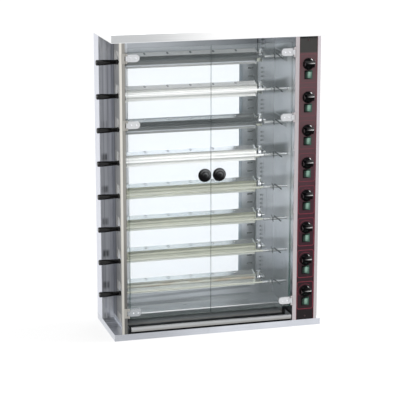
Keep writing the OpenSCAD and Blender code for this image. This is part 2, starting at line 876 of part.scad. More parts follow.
// Rocker with a shallow vee front, tilted about its trunnions
module rocker(k) {
    h = rocker_h / 2;
    color("limegreen")
    translate([knob_x, rocker_pivot, switch_z(k)]) rotate([rocker_tilt, 0, 0]) {
        along_x(-rocker_w / 2, rocker_w / 2)
            polygon([[-9, h], [-7, 0], [-9, -h], [0, -h + 1], [7, -h * 0.5], [7, h * 0.5], [0, h - 1]]);
        rod_x(-rocker_w / 2 - trunnion_l, rocker_w / 2 + trunnion_l, 0, 0, trunnion_r);
    }
}

base_plinth();
cap();
roof_panel();
left_wall();
left_column();
right_wall();
rear_frame();
back_panel();
rear_glass();
floor_deflector();
drip_tray();
hinge_brackets();
left_glass();
right_glass();
left_clamps();
right_clamps();
left_pull();
right_pull();
control_panel();
control_casing();
reflectors();
burner_tubes();
feed_tubes();
gas_valves();
gas_manifold();
gearmotors();
switch_bezels();
screws();
spit(1);  // spit_1
spit(2);  // spit_2
spit(3);  // spit_3
spit(4);  // spit_4
spit(5);  // spit_5
spit(6);  // spit_6
spit(7);  // spit_7
spit(8);  // spit_8
grip(1);  // grip_1
grip(2);  // grip_2
grip(3);  // grip_3
grip(4);  // grip_4
grip(5);  // grip_5
grip(6);  // grip_6
grip(7);  // grip_7
grip(8);  // grip_8
knob(1);  // knob_1
knob(2);  // knob_2
knob(3);  // knob_3
knob(4);  // knob_4
knob(5);  // knob_5
knob(6);  // knob_6
knob(7);  // knob_7
knob(8);  // knob_8
rocker(1);  // rocker_1
rocker(2);  // rocker_2
rocker(3);  // rocker_3
rocker(4);  // rocker_4
rocker(5);  // rocker_5
rocker(6);  // rocker_6
rocker(7);  // rocker_7
rocker(8);  // rocker_8
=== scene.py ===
"""Finish of a vertical rotisserie broiler: studio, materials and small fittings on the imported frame."""

import math

import bmesh
import bpy
from mathutils import Matrix, Vector


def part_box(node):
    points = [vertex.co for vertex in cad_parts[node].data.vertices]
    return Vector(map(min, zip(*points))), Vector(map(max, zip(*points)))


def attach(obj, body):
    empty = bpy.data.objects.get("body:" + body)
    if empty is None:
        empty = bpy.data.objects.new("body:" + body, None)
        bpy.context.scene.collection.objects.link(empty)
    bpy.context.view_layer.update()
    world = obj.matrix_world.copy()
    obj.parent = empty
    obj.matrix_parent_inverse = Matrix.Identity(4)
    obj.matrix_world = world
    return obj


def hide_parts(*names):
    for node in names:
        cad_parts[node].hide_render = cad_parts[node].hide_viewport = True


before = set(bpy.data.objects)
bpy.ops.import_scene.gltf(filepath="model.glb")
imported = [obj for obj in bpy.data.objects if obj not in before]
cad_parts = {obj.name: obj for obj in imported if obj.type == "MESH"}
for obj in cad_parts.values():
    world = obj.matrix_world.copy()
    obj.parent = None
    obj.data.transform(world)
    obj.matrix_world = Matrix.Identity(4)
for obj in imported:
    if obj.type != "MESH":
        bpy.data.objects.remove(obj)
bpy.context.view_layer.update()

bl_info = {
    "name": "Rotisserie Broiler Finish",
    "version": (1, 0, 0),
    "blender": (4, 5, 0),
    "location": "View3D > Sidebar > Broiler",
    "description": "Dresses the packed broiler with steel, glass, plastic and small fittings",
    "category": "Object",
}

LEVELS = range(1, 9)


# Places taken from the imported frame

def middle(node):
    """Centre of a node's box."""
    low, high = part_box(node)
    return (low + high) / 2


SPIT_Y = middle("grip_1").y
SPIT_Z = [middle(f"grip_{k}").z for k in LEVELS]
LOW_Z = SPIT_Z[-1]
PITCH = (SPIT_Z[0] - SPIT_Z[-1]) / 7
KNOB_X = middle("knob_1").x
KNOB_DROP = SPIT_Z[0] - middle("knob_1").z
SWITCH_DROP = SPIT_Z[0] - middle("rocker_1").z
REAR_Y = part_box("rear_frame")[0].y
FRONT_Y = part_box("left_wall")[0].y
BAND_LOW, BAND_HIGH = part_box("reflectors")
BAND_UP = BAND_HIGH.z - SPIT_Z[0] - 0.003
BAND_DOWN = SPIT_Z[-1] - BAND_LOW.z - 0.002
LIP_DROP = 0.014
LIP_HOLE_GAP = 0.117
BAND_END = BAND_HIGH.x - 0.040
ELBOW_X = BAND_END + 0.050
UNION_X = BAND_END + 0.019
WINDOW_RIGHT = BAND_END + 0.018
WINDOW_LEFT = BAND_LOW.x + 0.018
LOUVRE_X = WINDOW_RIGHT - 0.009
LOUVRE_GAP = 0.043
LOUVRE_LOW = 0.015
SEAM_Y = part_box("left_column")[0].y - 0.056
PIN_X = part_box("right_wall")[0].x - 0.073


# Where a mask goes from 0 to 1: depth on the walls' front faces, height of the shade near the floor

FRONT_FACE = (FRONT_Y + 0.0050, FRONT_Y + 0.0022)
NEAR_FLOOR = (0.32, 0.13)


# Print on the control panel, in metres from a level's middle

FRAME_HALF_X = 0.0415
FRAME_HALF_Z = 0.0705
FRAME_ROUND = 0.010
FRAME_DROP = 0.0225
ARC_RADIUS = 0.0362
BORDER_X = 0.0452


# Small fittings: outlines are pairs of radius and distance along the axis

ROD_BORE = 0.0051
SLEEVE = [(0.0064, 0), (0.0074, 0.0012), (0.0074, 0.034), (0.0062, 0.036)]
COLLAR = [(0.0085, 0), (0.0095, 0.001), (0.0095, 0.011), (0.0085, 0.012)]
SLEEVE_X = PIN_X - 0.049
COLLAR_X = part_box("left_wall")[1].x + 0.0012
KEY_PLACE = (PIN_X + 0.024, SPIT_Y - 0.0105)
KEY_WAY = Vector((0.038, 0.0, -0.030))
CLAMP_PLATE = 0.003
CLAMP_HEAD = 0.003
CLAMP_EDGE = 0.012
CLAMP_HALF = 0.018
CLAMP_HOLES = (0.016, 0.040)
MID_CLAMP_Z = SPIT_Z[2] + 0.039
CLAMP_SEED = 3
SCREW_SEED = 7
SCREW_INSET = 0.060
SCREW_ROWS = 5
KNOB_GAP = 0.0015
KNOB_BAR = 0.0175
WEDGE_LENGTH = 0.86
WEDGE_EDGE = 0.20
INLET_RADIUS = 0.0104
INLET_MARGIN = 0.0015
HOOD_LENGTH = 0.038
HOOD_HEIGHT = 0.016
GRILLE_SIZE = (0.224, 0.026)
GRILLE_WIRES = (41, 6)
GRILLE_INSET = 0.0028


# Tints that only one finish has

# Painted highlights on the burners: rods, lips and faces at the white levels, and lips at the top level.
WHITE_ROD = (0.96, 0.96, 0.95)
WHITE_LIP = (0.98, 0.98, 0.97)
WHITE_FACE = (0.98, 0.98, 0.96)
PALE_FOOT = (0.50, 0.52, 0.56)
SCORCH = (0.26, 0.19, 0.10)
BURNT_BROWN = (0.34, 0.24, 0.13)
# Painted light on the upper right wall.
BRIGHT_WALL = (0.98, 0.99, 1.0)
FAT_FILM = (0.17, 0.165, 0.15)
PANEL_HEAD = (0.032, 0.031, 0.030)
PANEL_FOOT = (0.010, 0.008, 0.009)
# Painted highlight on the knob ridges.
RIDGE_HIGHLIGHT_GREY = (0.42, 0.41, 0.41)
# Painted highlights in rings on the pulls.
RING_HIGHLIGHT_GREY = (0.16, 0.165, 0.17)
# Painted glow of the rocker's lamp on the bezels.
LAMP_GLOW = (0.030, 0.080, 0.060)


# Roughness of the burners, and the depth of fine brushing in metres

BAND_ROUGH = 0.22
TUBE_ROUGH = 0.62
RELIEF = 0.0002


# Edges sharper than this stay sharp when a piece is smoothed

SHARP_EDGE = math.radians(32)


# Studio: strength, spread, lean from overhead and heading of each sun, in degrees

SUNS = {
    "key_sun": (0.95, 38, 48, -32),
    "fill_sun": (0.40, 60, 62, 48),
    "top_sun": (0.40, 70, 12, 0),
    "front_sun": (1.00, 34, 70, -14),
    "spark_sun": (1.50, 22, 53, 86),
    "rim_sun": (0.60, 50, 58, 156),
}
SKY_LIGHT = 0.54
FLOOR_GLOW = 0.72
FLOOR_RADIUS = 30.0
FLOOR_Z = -0.0005
WHITE = (1, 1, 1, 1)


# Sizes and colours that a user would change

def shade_of(label, words, value):
    """A colour setting."""
    return bpy.props.FloatVectorProperty(
        name=label, description=words, subtype="COLOR", size=3, min=0.0, max=1.0, default=value
    )


def span_of(label, words, value):
    """A length setting in metres."""
    return bpy.props.FloatProperty(
        name=label, description=words, default=value, min=0.0, unit="LENGTH", subtype="DISTANCE"
    )


class BroilerColours(bpy.types.PropertyGroup):
    """Colours of the finishes."""

    sheet: shade_of("Sheet", "Bright cabinet sheet", (0.76, 0.775, 0.79))
    # Painted light: the cap's top and left end take this near white as lit faces.
    top: shade_of("Top", "Upper face of the cap", (0.97, 0.97, 0.97))
    base: shade_of("Base", "Base pan", (0.60, 0.62, 0.67))
    casing: shade_of("Casing", "Front strip of the control column", (0.54, 0.50, 0.53))
    flange: shade_of("Flange", "Front flange of the left wall", (0.68, 0.66, 0.61))
    column: shade_of("Column", "Brushed column behind the grips", (0.27, 0.28, 0.31))
    # Painted light: the column's left side takes this bright tone as a lit face.
    strip: shade_of("Strip", "Bright left side of the column", (0.68, 0.70, 0.77))
    recess: shade_of("Recess", "Outside of the left wall", (0.33, 0.325, 0.31))
    wall: shade_of("Wall", "Chamber walls", (0.66, 0.69, 0.74))
    post: shade_of("Post", "Front post beside the panel", (0.42, 0.385, 0.40))
    back: shade_of("Back", "Rear frame, back panel, hoods and grille", (0.28, 0.30, 0.32))
    band: shade_of("Band", "Burner bands before use", (0.80, 0.82, 0.80))
    straw: shade_of("Straw", "Heat tint on the lower bands", (0.55, 0.56, 0.46))
    # Also used for painted shade, painted shadows and painted dark reflections, besides burnt film.
    soot_and_shade: shade_of("Soot", "Burnt film and dark reflections", (0.030, 0.033, 0.036))
    tray: shade_of("Tray", "Greasy inside of the drip tray", (0.13, 0.14, 0.145))
    deflector: shade_of("Deflector", "Sloping floor sheet", (0.52, 0.54, 0.56))
    rod: shade_of("Rod", "Spits, feed tubes and screws", (0.44, 0.45, 0.45))
    chrome: shade_of("Chrome", "Clamps, their screws and burner unions", (0.70, 0.71, 0.73))
    brass: shade_of("Brass", "Valves and manifold", (0.62, 0.46, 0.20))
    paint: shade_of("Paint", "Gear motors", (0.10, 0.105, 0.11))
    maroon: shade_of("Maroon", "Control panel ground", (0.040, 0.010, 0.018))
    haze: shade_of("Haze", "Lighter upper half of the control panel", (0.080, 0.046, 0.050))
    line: shade_of("Line", "Fine lines on the control panel", (0.23, 0.030, 0.050))
    black: shade_of("Black", "Grips, pulls, knobs and bezels", (0.0012, 0.0012, 0.0014))
    lens: shade_of("Lens", "Green rocker", (0.002, 0.013, 0.008))
    lens_light: shade_of("Lens light", "Lit face of the rocker", (0.160, 0.265, 0.215))
    glass: shade_of("Glass", "Tint of the door panes", (0.80, 0.90, 0.92))
    sky: shade_of("Sky", "Tint of the rear pane", (0.36, 0.68, 1.00))
    edge: shade_of("Edge", "Cut edge of the panes", (0.030, 0.075, 0.065))
    floor: shade_of("Floor", "Studio floor", (0.92, 0.92, 0.92))


class BroilerSizes(bpy.types.PropertyGroup):
    """Sizes of the small fittings."""

    screw_radius: span_of("Screw radius", "Radius of a fixing screw's head", 0.0050)
    screw_height: span_of("Screw height", "Height of a fixing screw's head", 0.0026)
    clamp_screw: span_of("Clamp screw", "Radius of a clamp screw's head", 0.0050)
    nut_radius: span_of("Nut radius", "Radius of a burner nut over its corners", 0.0135)
    nut_width: span_of("Nut width", "Width of a burner nut", 0.0085)
    union_length: span_of("Union length", "Length of a burner union between its nuts", 0.0240)
    hood_depth: span_of("Hood depth", "How far a louvre hood stands out", 0.0060)
    wire: span_of("Wire", "Wire radius of the flue grille", 0.0006)
    thread: span_of("Thread", "Pitch of the gas inlet's thread", 0.0023)


class BroilerView(bpy.types.PropertyGroup):
    """Camera of the product picture."""

    place: bpy.props.FloatVectorProperty(
        name="Place", description="Where the camera stands", subtype="TRANSLATION",
        unit="LENGTH", default=(-2.1529, -7.5567, 2.4935),
    )
    yaw: bpy.props.FloatProperty(
        name="Yaw", description="Turn to the right", subtype="ANGLE", default=math.radians(15.60)
    )
    pitch: bpy.props.FloatProperty(
        name="Pitch", description="Tilt down", subtype="ANGLE", default=math.radians(13.33)
    )
    lens: bpy.props.FloatProperty(
        name="Lens", description="Focal length", subtype="DISTANCE_CAMERA", default=145.46
    )


def colours():
    """The scene's colour settings."""
    return bpy.context.scene.broiler_colours


def sizes():
    """The scene's size settings."""
    return bpy.context.scene.broiler_sizes


# Node trees written as expressions

def maths(operation, swapped=False):
    """A method that adds a Math node; swapped puts the other value first."""

    def run(self, other=0.0):
        first, second = (other, self) if swapped else (self, other)
        return self.net.node("ShaderNodeMath", {"operation": operation}, {0: first, 1: second})

    return run


class Sock:
    """A node's output that takes part in Python expressions."""

    def __init__(self, net, out):
        self.net = net
        self.out = out

    __add__ = maths("ADD")
    __radd__ = maths("ADD", True)
    __sub__ = maths("SUBTRACT")
    __rsub__ = maths("SUBTRACT", True)
    __mul__ = maths("MULTIPLY")
    __rmul__ = maths("MULTIPLY", True)
    __truediv__ = maths("DIVIDE")
    __abs__ = maths("ABSOLUTE")
    floor = maths("FLOOR")
    root = maths("SQRT")
    most = maths("MAXIMUM")
    least = maths("MINIMUM")

    def sway(self, amount):
        """Noise turned into a swing about zero."""
        return (self - 0.5) * amount

    def step(self, start, end):
        """Smooth change from 0 at start to 1 at end, whichever is the larger."""
        return self.net.node(
            "ShaderNodeMapRange",
            {"interpolation_type": "SMOOTHSTEP", "clamp": True},
            {0: self, 1: start, 2: end, 3: 0.0, 4: 1.0},
        )

    def inside(self, low, high, soft):
        """1 between low and high, with soft borders."""
        return self.step(low - soft, low + soft) * self.step(high + soft, high - soft)

    def equals(self, number):
        """1 where a whole number is met."""
        return self.net.node(
            "ShaderNodeMath", {"operation": "COMPARE"}, {0: self, 1: number, 2: 0.25}
        )

    def under(self, mask, colour, times=1.0):
        """This colour, with another one over it where the mask is 1."""
        return self.net.mix(mask, self, rgba(colour, times))


class Net:
    """A node tree that is filled one node at a time."""

    def __init__(self, tree):
        self.tree = tree
        tree.nodes.clear()

    def node(self, kind, settings=None, inputs=None, out=0):
        made = self.tree.nodes.new(kind)
        for key, value in (settings or {}).items():
            setattr(made, key, value)
        for key, value in (inputs or {}).items():
            socket = made.inputs[key]
            if isinstance(value, Sock):
                self.tree.links.new(value.out, socket)
            elif isinstance(value, (list, tuple)) and isinstance(value[0], Sock):
                for one in value:
                    self.tree.links.new(one.out, socket)
            else:
                socket.default_value = value
        return Sock(self, made.outputs[out]) if len(made.outputs) else None


def rgba(colour, times=1.0):
    """A colour with full alpha, brightened or darkened."""
    return (*[min(1.0, c * times) for c in colour], 1.0)


class Finish(Net):
    """A material, read in the piece's own place in metres."""

    def __init__(self, name):
        self.material = bpy.data.materials.new(name)
        self.material.use_nodes = True
        super().__init__(self.material.node_tree)
        self.place = self.node("ShaderNodeTexCoord", out="Object")
        self.facing = self.node("ShaderNodeTexCoord", out="Normal")

    def axis(self, name, vector=None):
        return self.node("ShaderNodeSeparateXYZ", None, {0: vector or self.place}, out=name)

    x = property(lambda self: self.axis("X"))
    y = property(lambda self: self.axis("Y"))
    z = property(lambda self: self.axis("Z"))

    def looks(self, way):
        """1 on faces that look along a way such as -Y."""
        along = self.axis(way[1], self.facing)
        if way[0] == "-":
            along = 0 - along
        return along.step(0.5, 0.9)

    def stretched(self, scale):
        return self.node(
            "ShaderNodeVectorMath", {"operation": "MULTIPLY"}, {0: self.place, 1: scale}
        )

    def noise(self, scale, detail=3.0, rough=0.55):
        """Cloudy noise; scale is cells per metre along each axis."""
        return self.node(
            "ShaderNodeTexNoise",
            None,
            {"Vector": self.stretched(scale), "Scale": 1.0, "Detail": detail, "Roughness": rough},
        )

    def mix(self, factor, a, b):
        return self.node(
            "ShaderNodeMix",
            {"data_type": "RGBA", "clamp_factor": True},
            {0: factor, 6: a, 7: b},
            out=2,
        )

    def shades(self, tone, colour, low, high):
        """A colour between two strengths of itself."""
        return self.mix(tone, rgba(colour, low), rgba(colour, high))

    def bump(self, height, strength, depth):
        return self.node(
            "ShaderNodeBump", None, {"Strength": strength, "Distance": depth, "Height": height}
        )

    def close(self, **sockets):
        """Ends the tree in one principled shader."""
        shader = self.node(
            "ShaderNodeBsdfPrincipled",
            None,
            {key.replace("_", " "): value for key, value in sockets.items()},
        )
        self.node("ShaderNodeOutputMaterial", None, {"Surface": shader})
        return self.material


GRAIN = {
    "X": ((7, 700, 700), (1.5, 60, 60)),
    "Y": ((700, 7, 700), (60, 1.5, 60)),
    "Z": ((700, 700, 7), (60, 60, 1.5)),
}


class Sheet(Finish):
    """Satin sheet: fine brushing along one axis and a faint wiped cloudiness."""

    def __init__(self, name, grain):
        super().__init__(name)
        self.fine = self.noise(GRAIN[grain][0], 2.0)
        self.wiped = self.noise((5, 5, 5), 4.0)
        self.tone = 0.5 + self.fine.sway(0.22) + self.wiped.sway(0.55)

    def satin(self, base, rough, fine=0.10, wiped=0.16, relief=0.10, metal=1.0):
        """Ends the tree as metal whose roughness follows the brushing."""
        sockets = {
            "Base_Color": base,
            "Metallic": metal,
            "Roughness": rough + self.fine.sway(fine) + self.wiped.sway(wiped),
        }
        if relief:
            sockets["Normal"] = self.bump(self.fine, relief, RELIEF)
        return self.close(**sockets)


def brushed(name, colour, grain, rough, streak, cloud):
    """Brushed sheet: fine lines, broad streaks and a wiped cloudiness along one axis."""
    f = Finish(name)
    fine = f.noise(GRAIN[grain][0], 2.0)
    broad = f.noise(GRAIN[grain][1], 3.0)
    wiped = f.noise((6, 6, 6), 4.0)
    tone = 0.5 + fine.sway(streak) + broad.sway(2 * streak) + wiped.sway(cloud)
    return f.close(
        Base_Color=f.shades(tone, colour, 0.72, 1.25),
        Metallic=1.0,
        Roughness=rough + fine.sway(0.10) + wiped.sway(0.16),
        Normal=f.bump(fine, 0.12, RELIEF),
    )


def level_number(z, lowest=LOW_Z):
    """Whole number of the level that a height belongs to, 0 at the bottom and 7 at the top."""
    return ((z - (lowest - PITCH / 2)) / PITCH).floor()


def spit_height(z, lowest=LOW_Z):
    """Height above the spit of the same level, or above another place that each level has."""
    return z - lowest - level_number(z, lowest) * PITCH


def dark_levels(level):
    """1 at the levels whose band faces are painted dark, a painted dark reflection."""
    return level.equals(7.0) + level.equals(5.0)


def white_levels(level):
    """1 at the levels whose band faces are painted white, a painted bright reflection."""
    return level.equals(6.0) + level.equals(4.0)


def upper_half(level):
    """1 at the upper four levels, which carry no straw tint."""
    return level.step(3.2, 3.8)


# Mesh helpers

def add_box(bm, low, high):
    """A box between two corners."""
    low = Vector(low)
    high = Vector(high)
    made = bmesh.ops.create_cube(bm, size=1.0)["verts"]
    bmesh.ops.scale(bm, vec=high - low, verts=made)
    bmesh.ops.translate(bm, vec=(low + high) / 2, verts=made)
    return made


def add_lathe(bm, outline, origin, axis, steps):
    """A closed turned shape; outline is (radius, distance along the axis)."""
    turn = Vector(axis).to_track_quat("Z", "Y").to_matrix().to_4x4()
    place = Matrix.Translation(Vector(origin)) @ turn
    rings = []
    for radius, along in outline:
        if radius <= 0.0:
            rings.append([bm.verts.new(place @ Vector((0, 0, along)))])
            continue
        rings.append([
            bm.verts.new(place @ Vector((
                radius * math.cos(2 * math.pi * i / steps),
                radius * math.sin(2 * math.pi * i / steps),
                along,
            )))
            for i in range(steps)
        ])
    for a, b in zip(rings, rings[1:]):
        for i in range(steps):
            j = (i + 1) % steps
            corners = [a[i % len(a)], a[j % len(a)], b[j % len(b)], b[i % len(b)]]
            corners = list(dict.fromkeys(corners))
            if len(corners) > 2:
                bm.faces.new(corners)


def piece(name, bm, material, body, replaces=()):
    """Turns a bmesh into a finished piece that rides on a body."""
    bmesh.ops.recalc_face_normals(bm, faces=bm.faces)
    mesh = bpy.data.meshes.new(name)
    bm.to_mesh(mesh)
    bm.free()
    mesh.materials.append(material)
    made = bpy.data.objects.new(name, mesh)
    bpy.context.scene.collection.objects.link(made)
    settle(made, body, replaces)


def settle(made, body, replaces):
    """Smooths a piece and ties it to the frame."""
    made.data.polygons.foreach_set("use_smooth", [True] * len(made.data.polygons))
    made.data.set_sharp_from_angle(angle=SHARP_EDGE)
    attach(made, body)
    if replaces:
        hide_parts(*replaces)


def baked(made):
    """Applies a piece's modifiers to a plain mesh."""
    bpy.context.view_layer.update()
    graph = bpy.context.evaluated_depsgraph_get()
    mesh = bpy.data.meshes.new_from_object(made.evaluated_get(graph), depsgraph=graph)
    made.modifiers.clear()
    made.data = mesh


def dress(material, *nodes):
    """Gives CAD nodes a finish."""
    for name in nodes:
        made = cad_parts[name]
        for i in range(len(made.material_slots)):
            made.material_slots[i].material = material


# Geometry Nodes for what repeats

class Pattern(Net):
    """A geometry tree with named sizes, ending in realised pieces of one finish."""

    def __init__(self, name, lengths):
        tree = bpy.data.node_groups.new(name, "GeometryNodeTree")
        super().__init__(tree)
        face = tree.interface
        face.new_socket("Points", in_out="INPUT", socket_type="NodeSocketGeometry")
        self.lengths = lengths
        self.keys = {}
        for label, value in lengths.items():
            made = face.new_socket(label, in_out="INPUT", socket_type="NodeSocketFloat")
            made.subtype = "DISTANCE"
            made.default_value = value
            self.keys[label] = made.identifier
        finish = face.new_socket("Finish", in_out="INPUT", socket_type="NodeSocketMaterial")
        self.keys["Finish"] = finish.identifier
        face.new_socket("Pieces", in_out="OUTPUT", socket_type="NodeSocketGeometry")
        self.group = tree.nodes.new("NodeGroupInput")

    def size(self, label):
        """One of the tree's named inputs."""
        return Sock(self, self.group.outputs[label])

    def xyz(self, x=0.0, y=0.0, z=0.0):
        return self.node("ShaderNodeCombineXYZ", None, {0: x, 1: y, 2: z})

    def moved(self, geometry, shift, turn=(0.0, 0.0, 0.0)):
        return self.node(
            "GeometryNodeTransform", None,
            {"Geometry": geometry, "Translation": shift, "Rotation": turn},
        )

    def cylinder(self, sides, radius, depth):
        return self.node(
            "GeometryNodeMeshCylinder", None,
            {"Vertices": sides, "Radius": radius, "Depth": depth},
        )

    def cone(self, sides, top, bottom, depth):
        return self.node(
            "GeometryNodeMeshCone", None,
            {"Vertices": sides, "Radius Top": top, "Radius Bottom": bottom, "Depth": depth},
        )

    def cube(self, x, y, z):
        return self.node("GeometryNodeMeshCube", None, {"Size": self.xyz(x, y, z)})

    def grid(self, x, y, columns, rows):
        return self.node(
            "GeometryNodeMeshGrid", None,
            {"Size X": x, "Size Y": y, "Vertices X": columns, "Vertices Y": rows},
        )

    def tube(self, curve, sides, radius, caps):
        ring = self.node(
            "GeometryNodeCurvePrimitiveCircle", {"mode": "RADIUS"},
            {"Resolution": sides, "Radius": radius},
        )
        return self.node(
            "GeometryNodeCurveToMesh", None,
            {"Curve": curve, "Profile Curve": ring, "Fill Caps": caps},
        )

    def cut(self, body, *tools):
        return self.node(
            "GeometryNodeMeshBoolean", {"operation": "DIFFERENCE"}, {0: body, 1: list(tools)}
        )

    def joined(self, *parts):
        return self.node("GeometryNodeJoinGeometry", None, {0: list(reversed(parts))})

    def on_points(self, shape, seed=None):
        """Sets a shape on each point, its Z along the point's facing."""
        facing = self.node(
            "GeometryNodeInputNamedAttribute", {"data_type": "FLOAT_VECTOR"}, {"Name": "facing"}
        )
        turn = self.node("FunctionNodeAlignRotationToVector", {"axis": "Z"}, {"Vector": facing})
        if seed is not None:
            angle = self.node(
                "FunctionNodeRandomValue", {"data_type": "FLOAT"},
                {2: 0.0, 3: math.pi, "Seed": seed}, out=1,
            )
            spin = self.node(
                "FunctionNodeAxisAngleToRotation", None, {"Axis": (0.0, 0.0, 1.0), "Angle": angle}
            )
            turn = self.node(
                "FunctionNodeRotateRotation", {"rotation_space": "LOCAL"}, {0: turn, 1: spin}
            )
        return self.node(
            "GeometryNodeInstanceOnPoints", None,
            {"Points": self.size("Points"), "Instance": shape, "Rotation": turn},
        )

    def close(self, geometry):
        real = self.node("GeometryNodeRealizeInstances", None, {"Geometry": geometry})
        done = self.node(
            "GeometryNodeSetMaterial", None, {"Geometry": real, "Material": self.size("Finish")}
        )
        self.node("NodeGroupOutput", None, {"Pieces": done})

    def grow(self, name, spots, material, body, slot, replaces=()):
        """Runs the tree on points with their facings and keeps the result as a plain piece."""
        mesh = bpy.data.meshes.new(name)
        mesh.from_pydata([point for point, way in spots], [], [])
        facing = mesh.attributes.new("facing", "FLOAT_VECTOR", "POINT")
        for i, (point, way) in enumerate(spots):
            facing.data[i].vector = way
        made = bpy.data.objects.new(name, mesh)
        bpy.context.scene.collection.objects.link(made)
        modifier = made.modifiers.new("pattern", "NODES")
        modifier.node_group = self.tree
        for label, value in self.lengths.items():
            modifier[self.keys[label]] = value
        modifier[self.keys["Finish"]] = material
        baked(made)
        settle(made, body, replaces)


# Finishes of single pieces

def cap_steel():
    """Cap: brushed front painted brighter to the right as painted light, a painted shaded strip along the
    top's front edge, and a faintly wiped top and left end painted pale as lit faces.
    """
    c = colours()
    f = Sheet("cap_steel", "X")
    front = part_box("cap")[0].y
    streak = f.noise((2.5, 90, 160), 3.0)
    # Painted light: the front brightens to the right.
    right = f.x.step(-0.44, 0.12) + streak.sway(0.30)
    side = f.mix(right, rgba(c.sheet, 0.66), rgba(c.top))
    side = side.under((1 - f.tone) * 0.12, c.recess)
    # Painted light: the left end is painted near white as a lit face.
    side = side.under(f.looks("-X"), c.top)
    # Painted light: the top is painted near white as a lit face, with a painted shaded strip along its
    # front edge.
    top = f.shades(f.tone, c.top, 0.98, 1.02)
    top = top.under(f.y.step(front + 0.022, front + 0.012), c.sheet, 0.86)
    return f.satin(f.mix(f.looks("+Z"), side, top), 0.34, wiped=0.12)


def rod_steel():
    """Spit rods: satin steel, lightly burnt where the flames reach them, painted dark at the dark levels
    and white at the white levels to match the bands' painted reflections, with a dark cross pin.
    """
    c = colours()
    f = Sheet("spit_steel", "X")
    x = f.x
    level = level_number(f.z)
    inner = x.step(BAND_END, BAND_END - 0.02)
    dark = dark_levels(level)
    white = inner * white_levels(level)
    straw = inner * (1 - upper_half(level))
    base = f.shades(f.tone, c.rod, 0.75, 1.3)
    # Painted dark at the dark levels to match their painted dark faces, lightly burnt elsewhere inside
    # the bands; painted white at the white levels as a painted highlight.
    base = base.under(inner * (dark * 0.95 + (1 - dark) * 0.15), c.soot_and_shade, 0.9)
    base = base.under(white * 0.9, WHITE_ROD)
    base = base.under(straw * 0.8, c.straw, 0.82)
    base = base.under(x.step(PIN_X - 0.013, PIN_X - 0.011) * 0.45, c.soot_and_shade, 3.0)
    base = base.under(x.inside(PIN_X - 0.004, PIN_X + 0.004, 0.001) * 0.9, c.soot_and_shade)
    return f.satin(base, 0.32, metal=1.0 - white * 0.7 - straw * 0.6)


def column_steel():
    """Dark vertical brushing, a left side painted bright as painted light, painted reflections of the
    grips as soft marks above each grip, a painted reflection at the bright foot, lighter patches near the
    top and painted corner shade along the right edge.
    """
    c = colours()
    low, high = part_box("left_column")
    f = Finish("column_steel")
    fine = f.noise((500, 500, 5), 2.0)
    broad = f.noise((85, 85, 0.6), 4.0, 0.6)
    wide = f.noise((26, 26, 0.4), 2.0)
    x = f.x
    z = f.z
    # Painted reflections of the grips: soft dark marks above each one.
    mark = spit_height(z).inside(-0.022, 0.012, 0.010) * z.step(1.20, 0.80)
    mark = mark * x.inside(low.x + 0.008, high.x - 0.022, 0.008)
    mark = mark * f.noise((150, 150, 4), 2.0).step(0.25, 0.60)
    # Painted reflection of the base: a bright foot.
    foot = z.step(0.20, 0.10) * f.noise((40, 40, 9), 3.0).step(0.38, 0.60)
    patches = z.step(1.28, 1.40) * f.noise((30, 30, 9), 3.0).step(0.42, 0.66)
    side = f.looks("-X")
    tone = 0.5 + fine.sway(0.30) + broad.sway(1.7) + wide.sway(0.9)
    base = f.shades(tone, c.column, 0.55, 1.75)
    base = base.under(patches * 0.5, c.sheet, 0.8)
    base = base.under(z.step(0.60, 0.12) * 0.15, c.soot_and_shade, 1.5)
    base = base.under(mark * 0.85, c.soot_and_shade)
    base = base.under(foot * 0.45, c.sheet, 0.6)
    # Painted light on the left side, painted corner shade along the right edge.
    base = base.under(side * (0.92 + fine.sway(0.2)), c.strip)
    base = base.under(x.step(high.x - 0.010, high.x - 0.002) * (1 - side) * 0.25, c.soot_and_shade)
    return f.close(
        Base_Color=base,
        Metallic=0.7,
        Roughness=0.34 + fine.sway(0.12) + broad.sway(0.2),
        Normal=f.bump(fine, 0.15, RELIEF),
    )


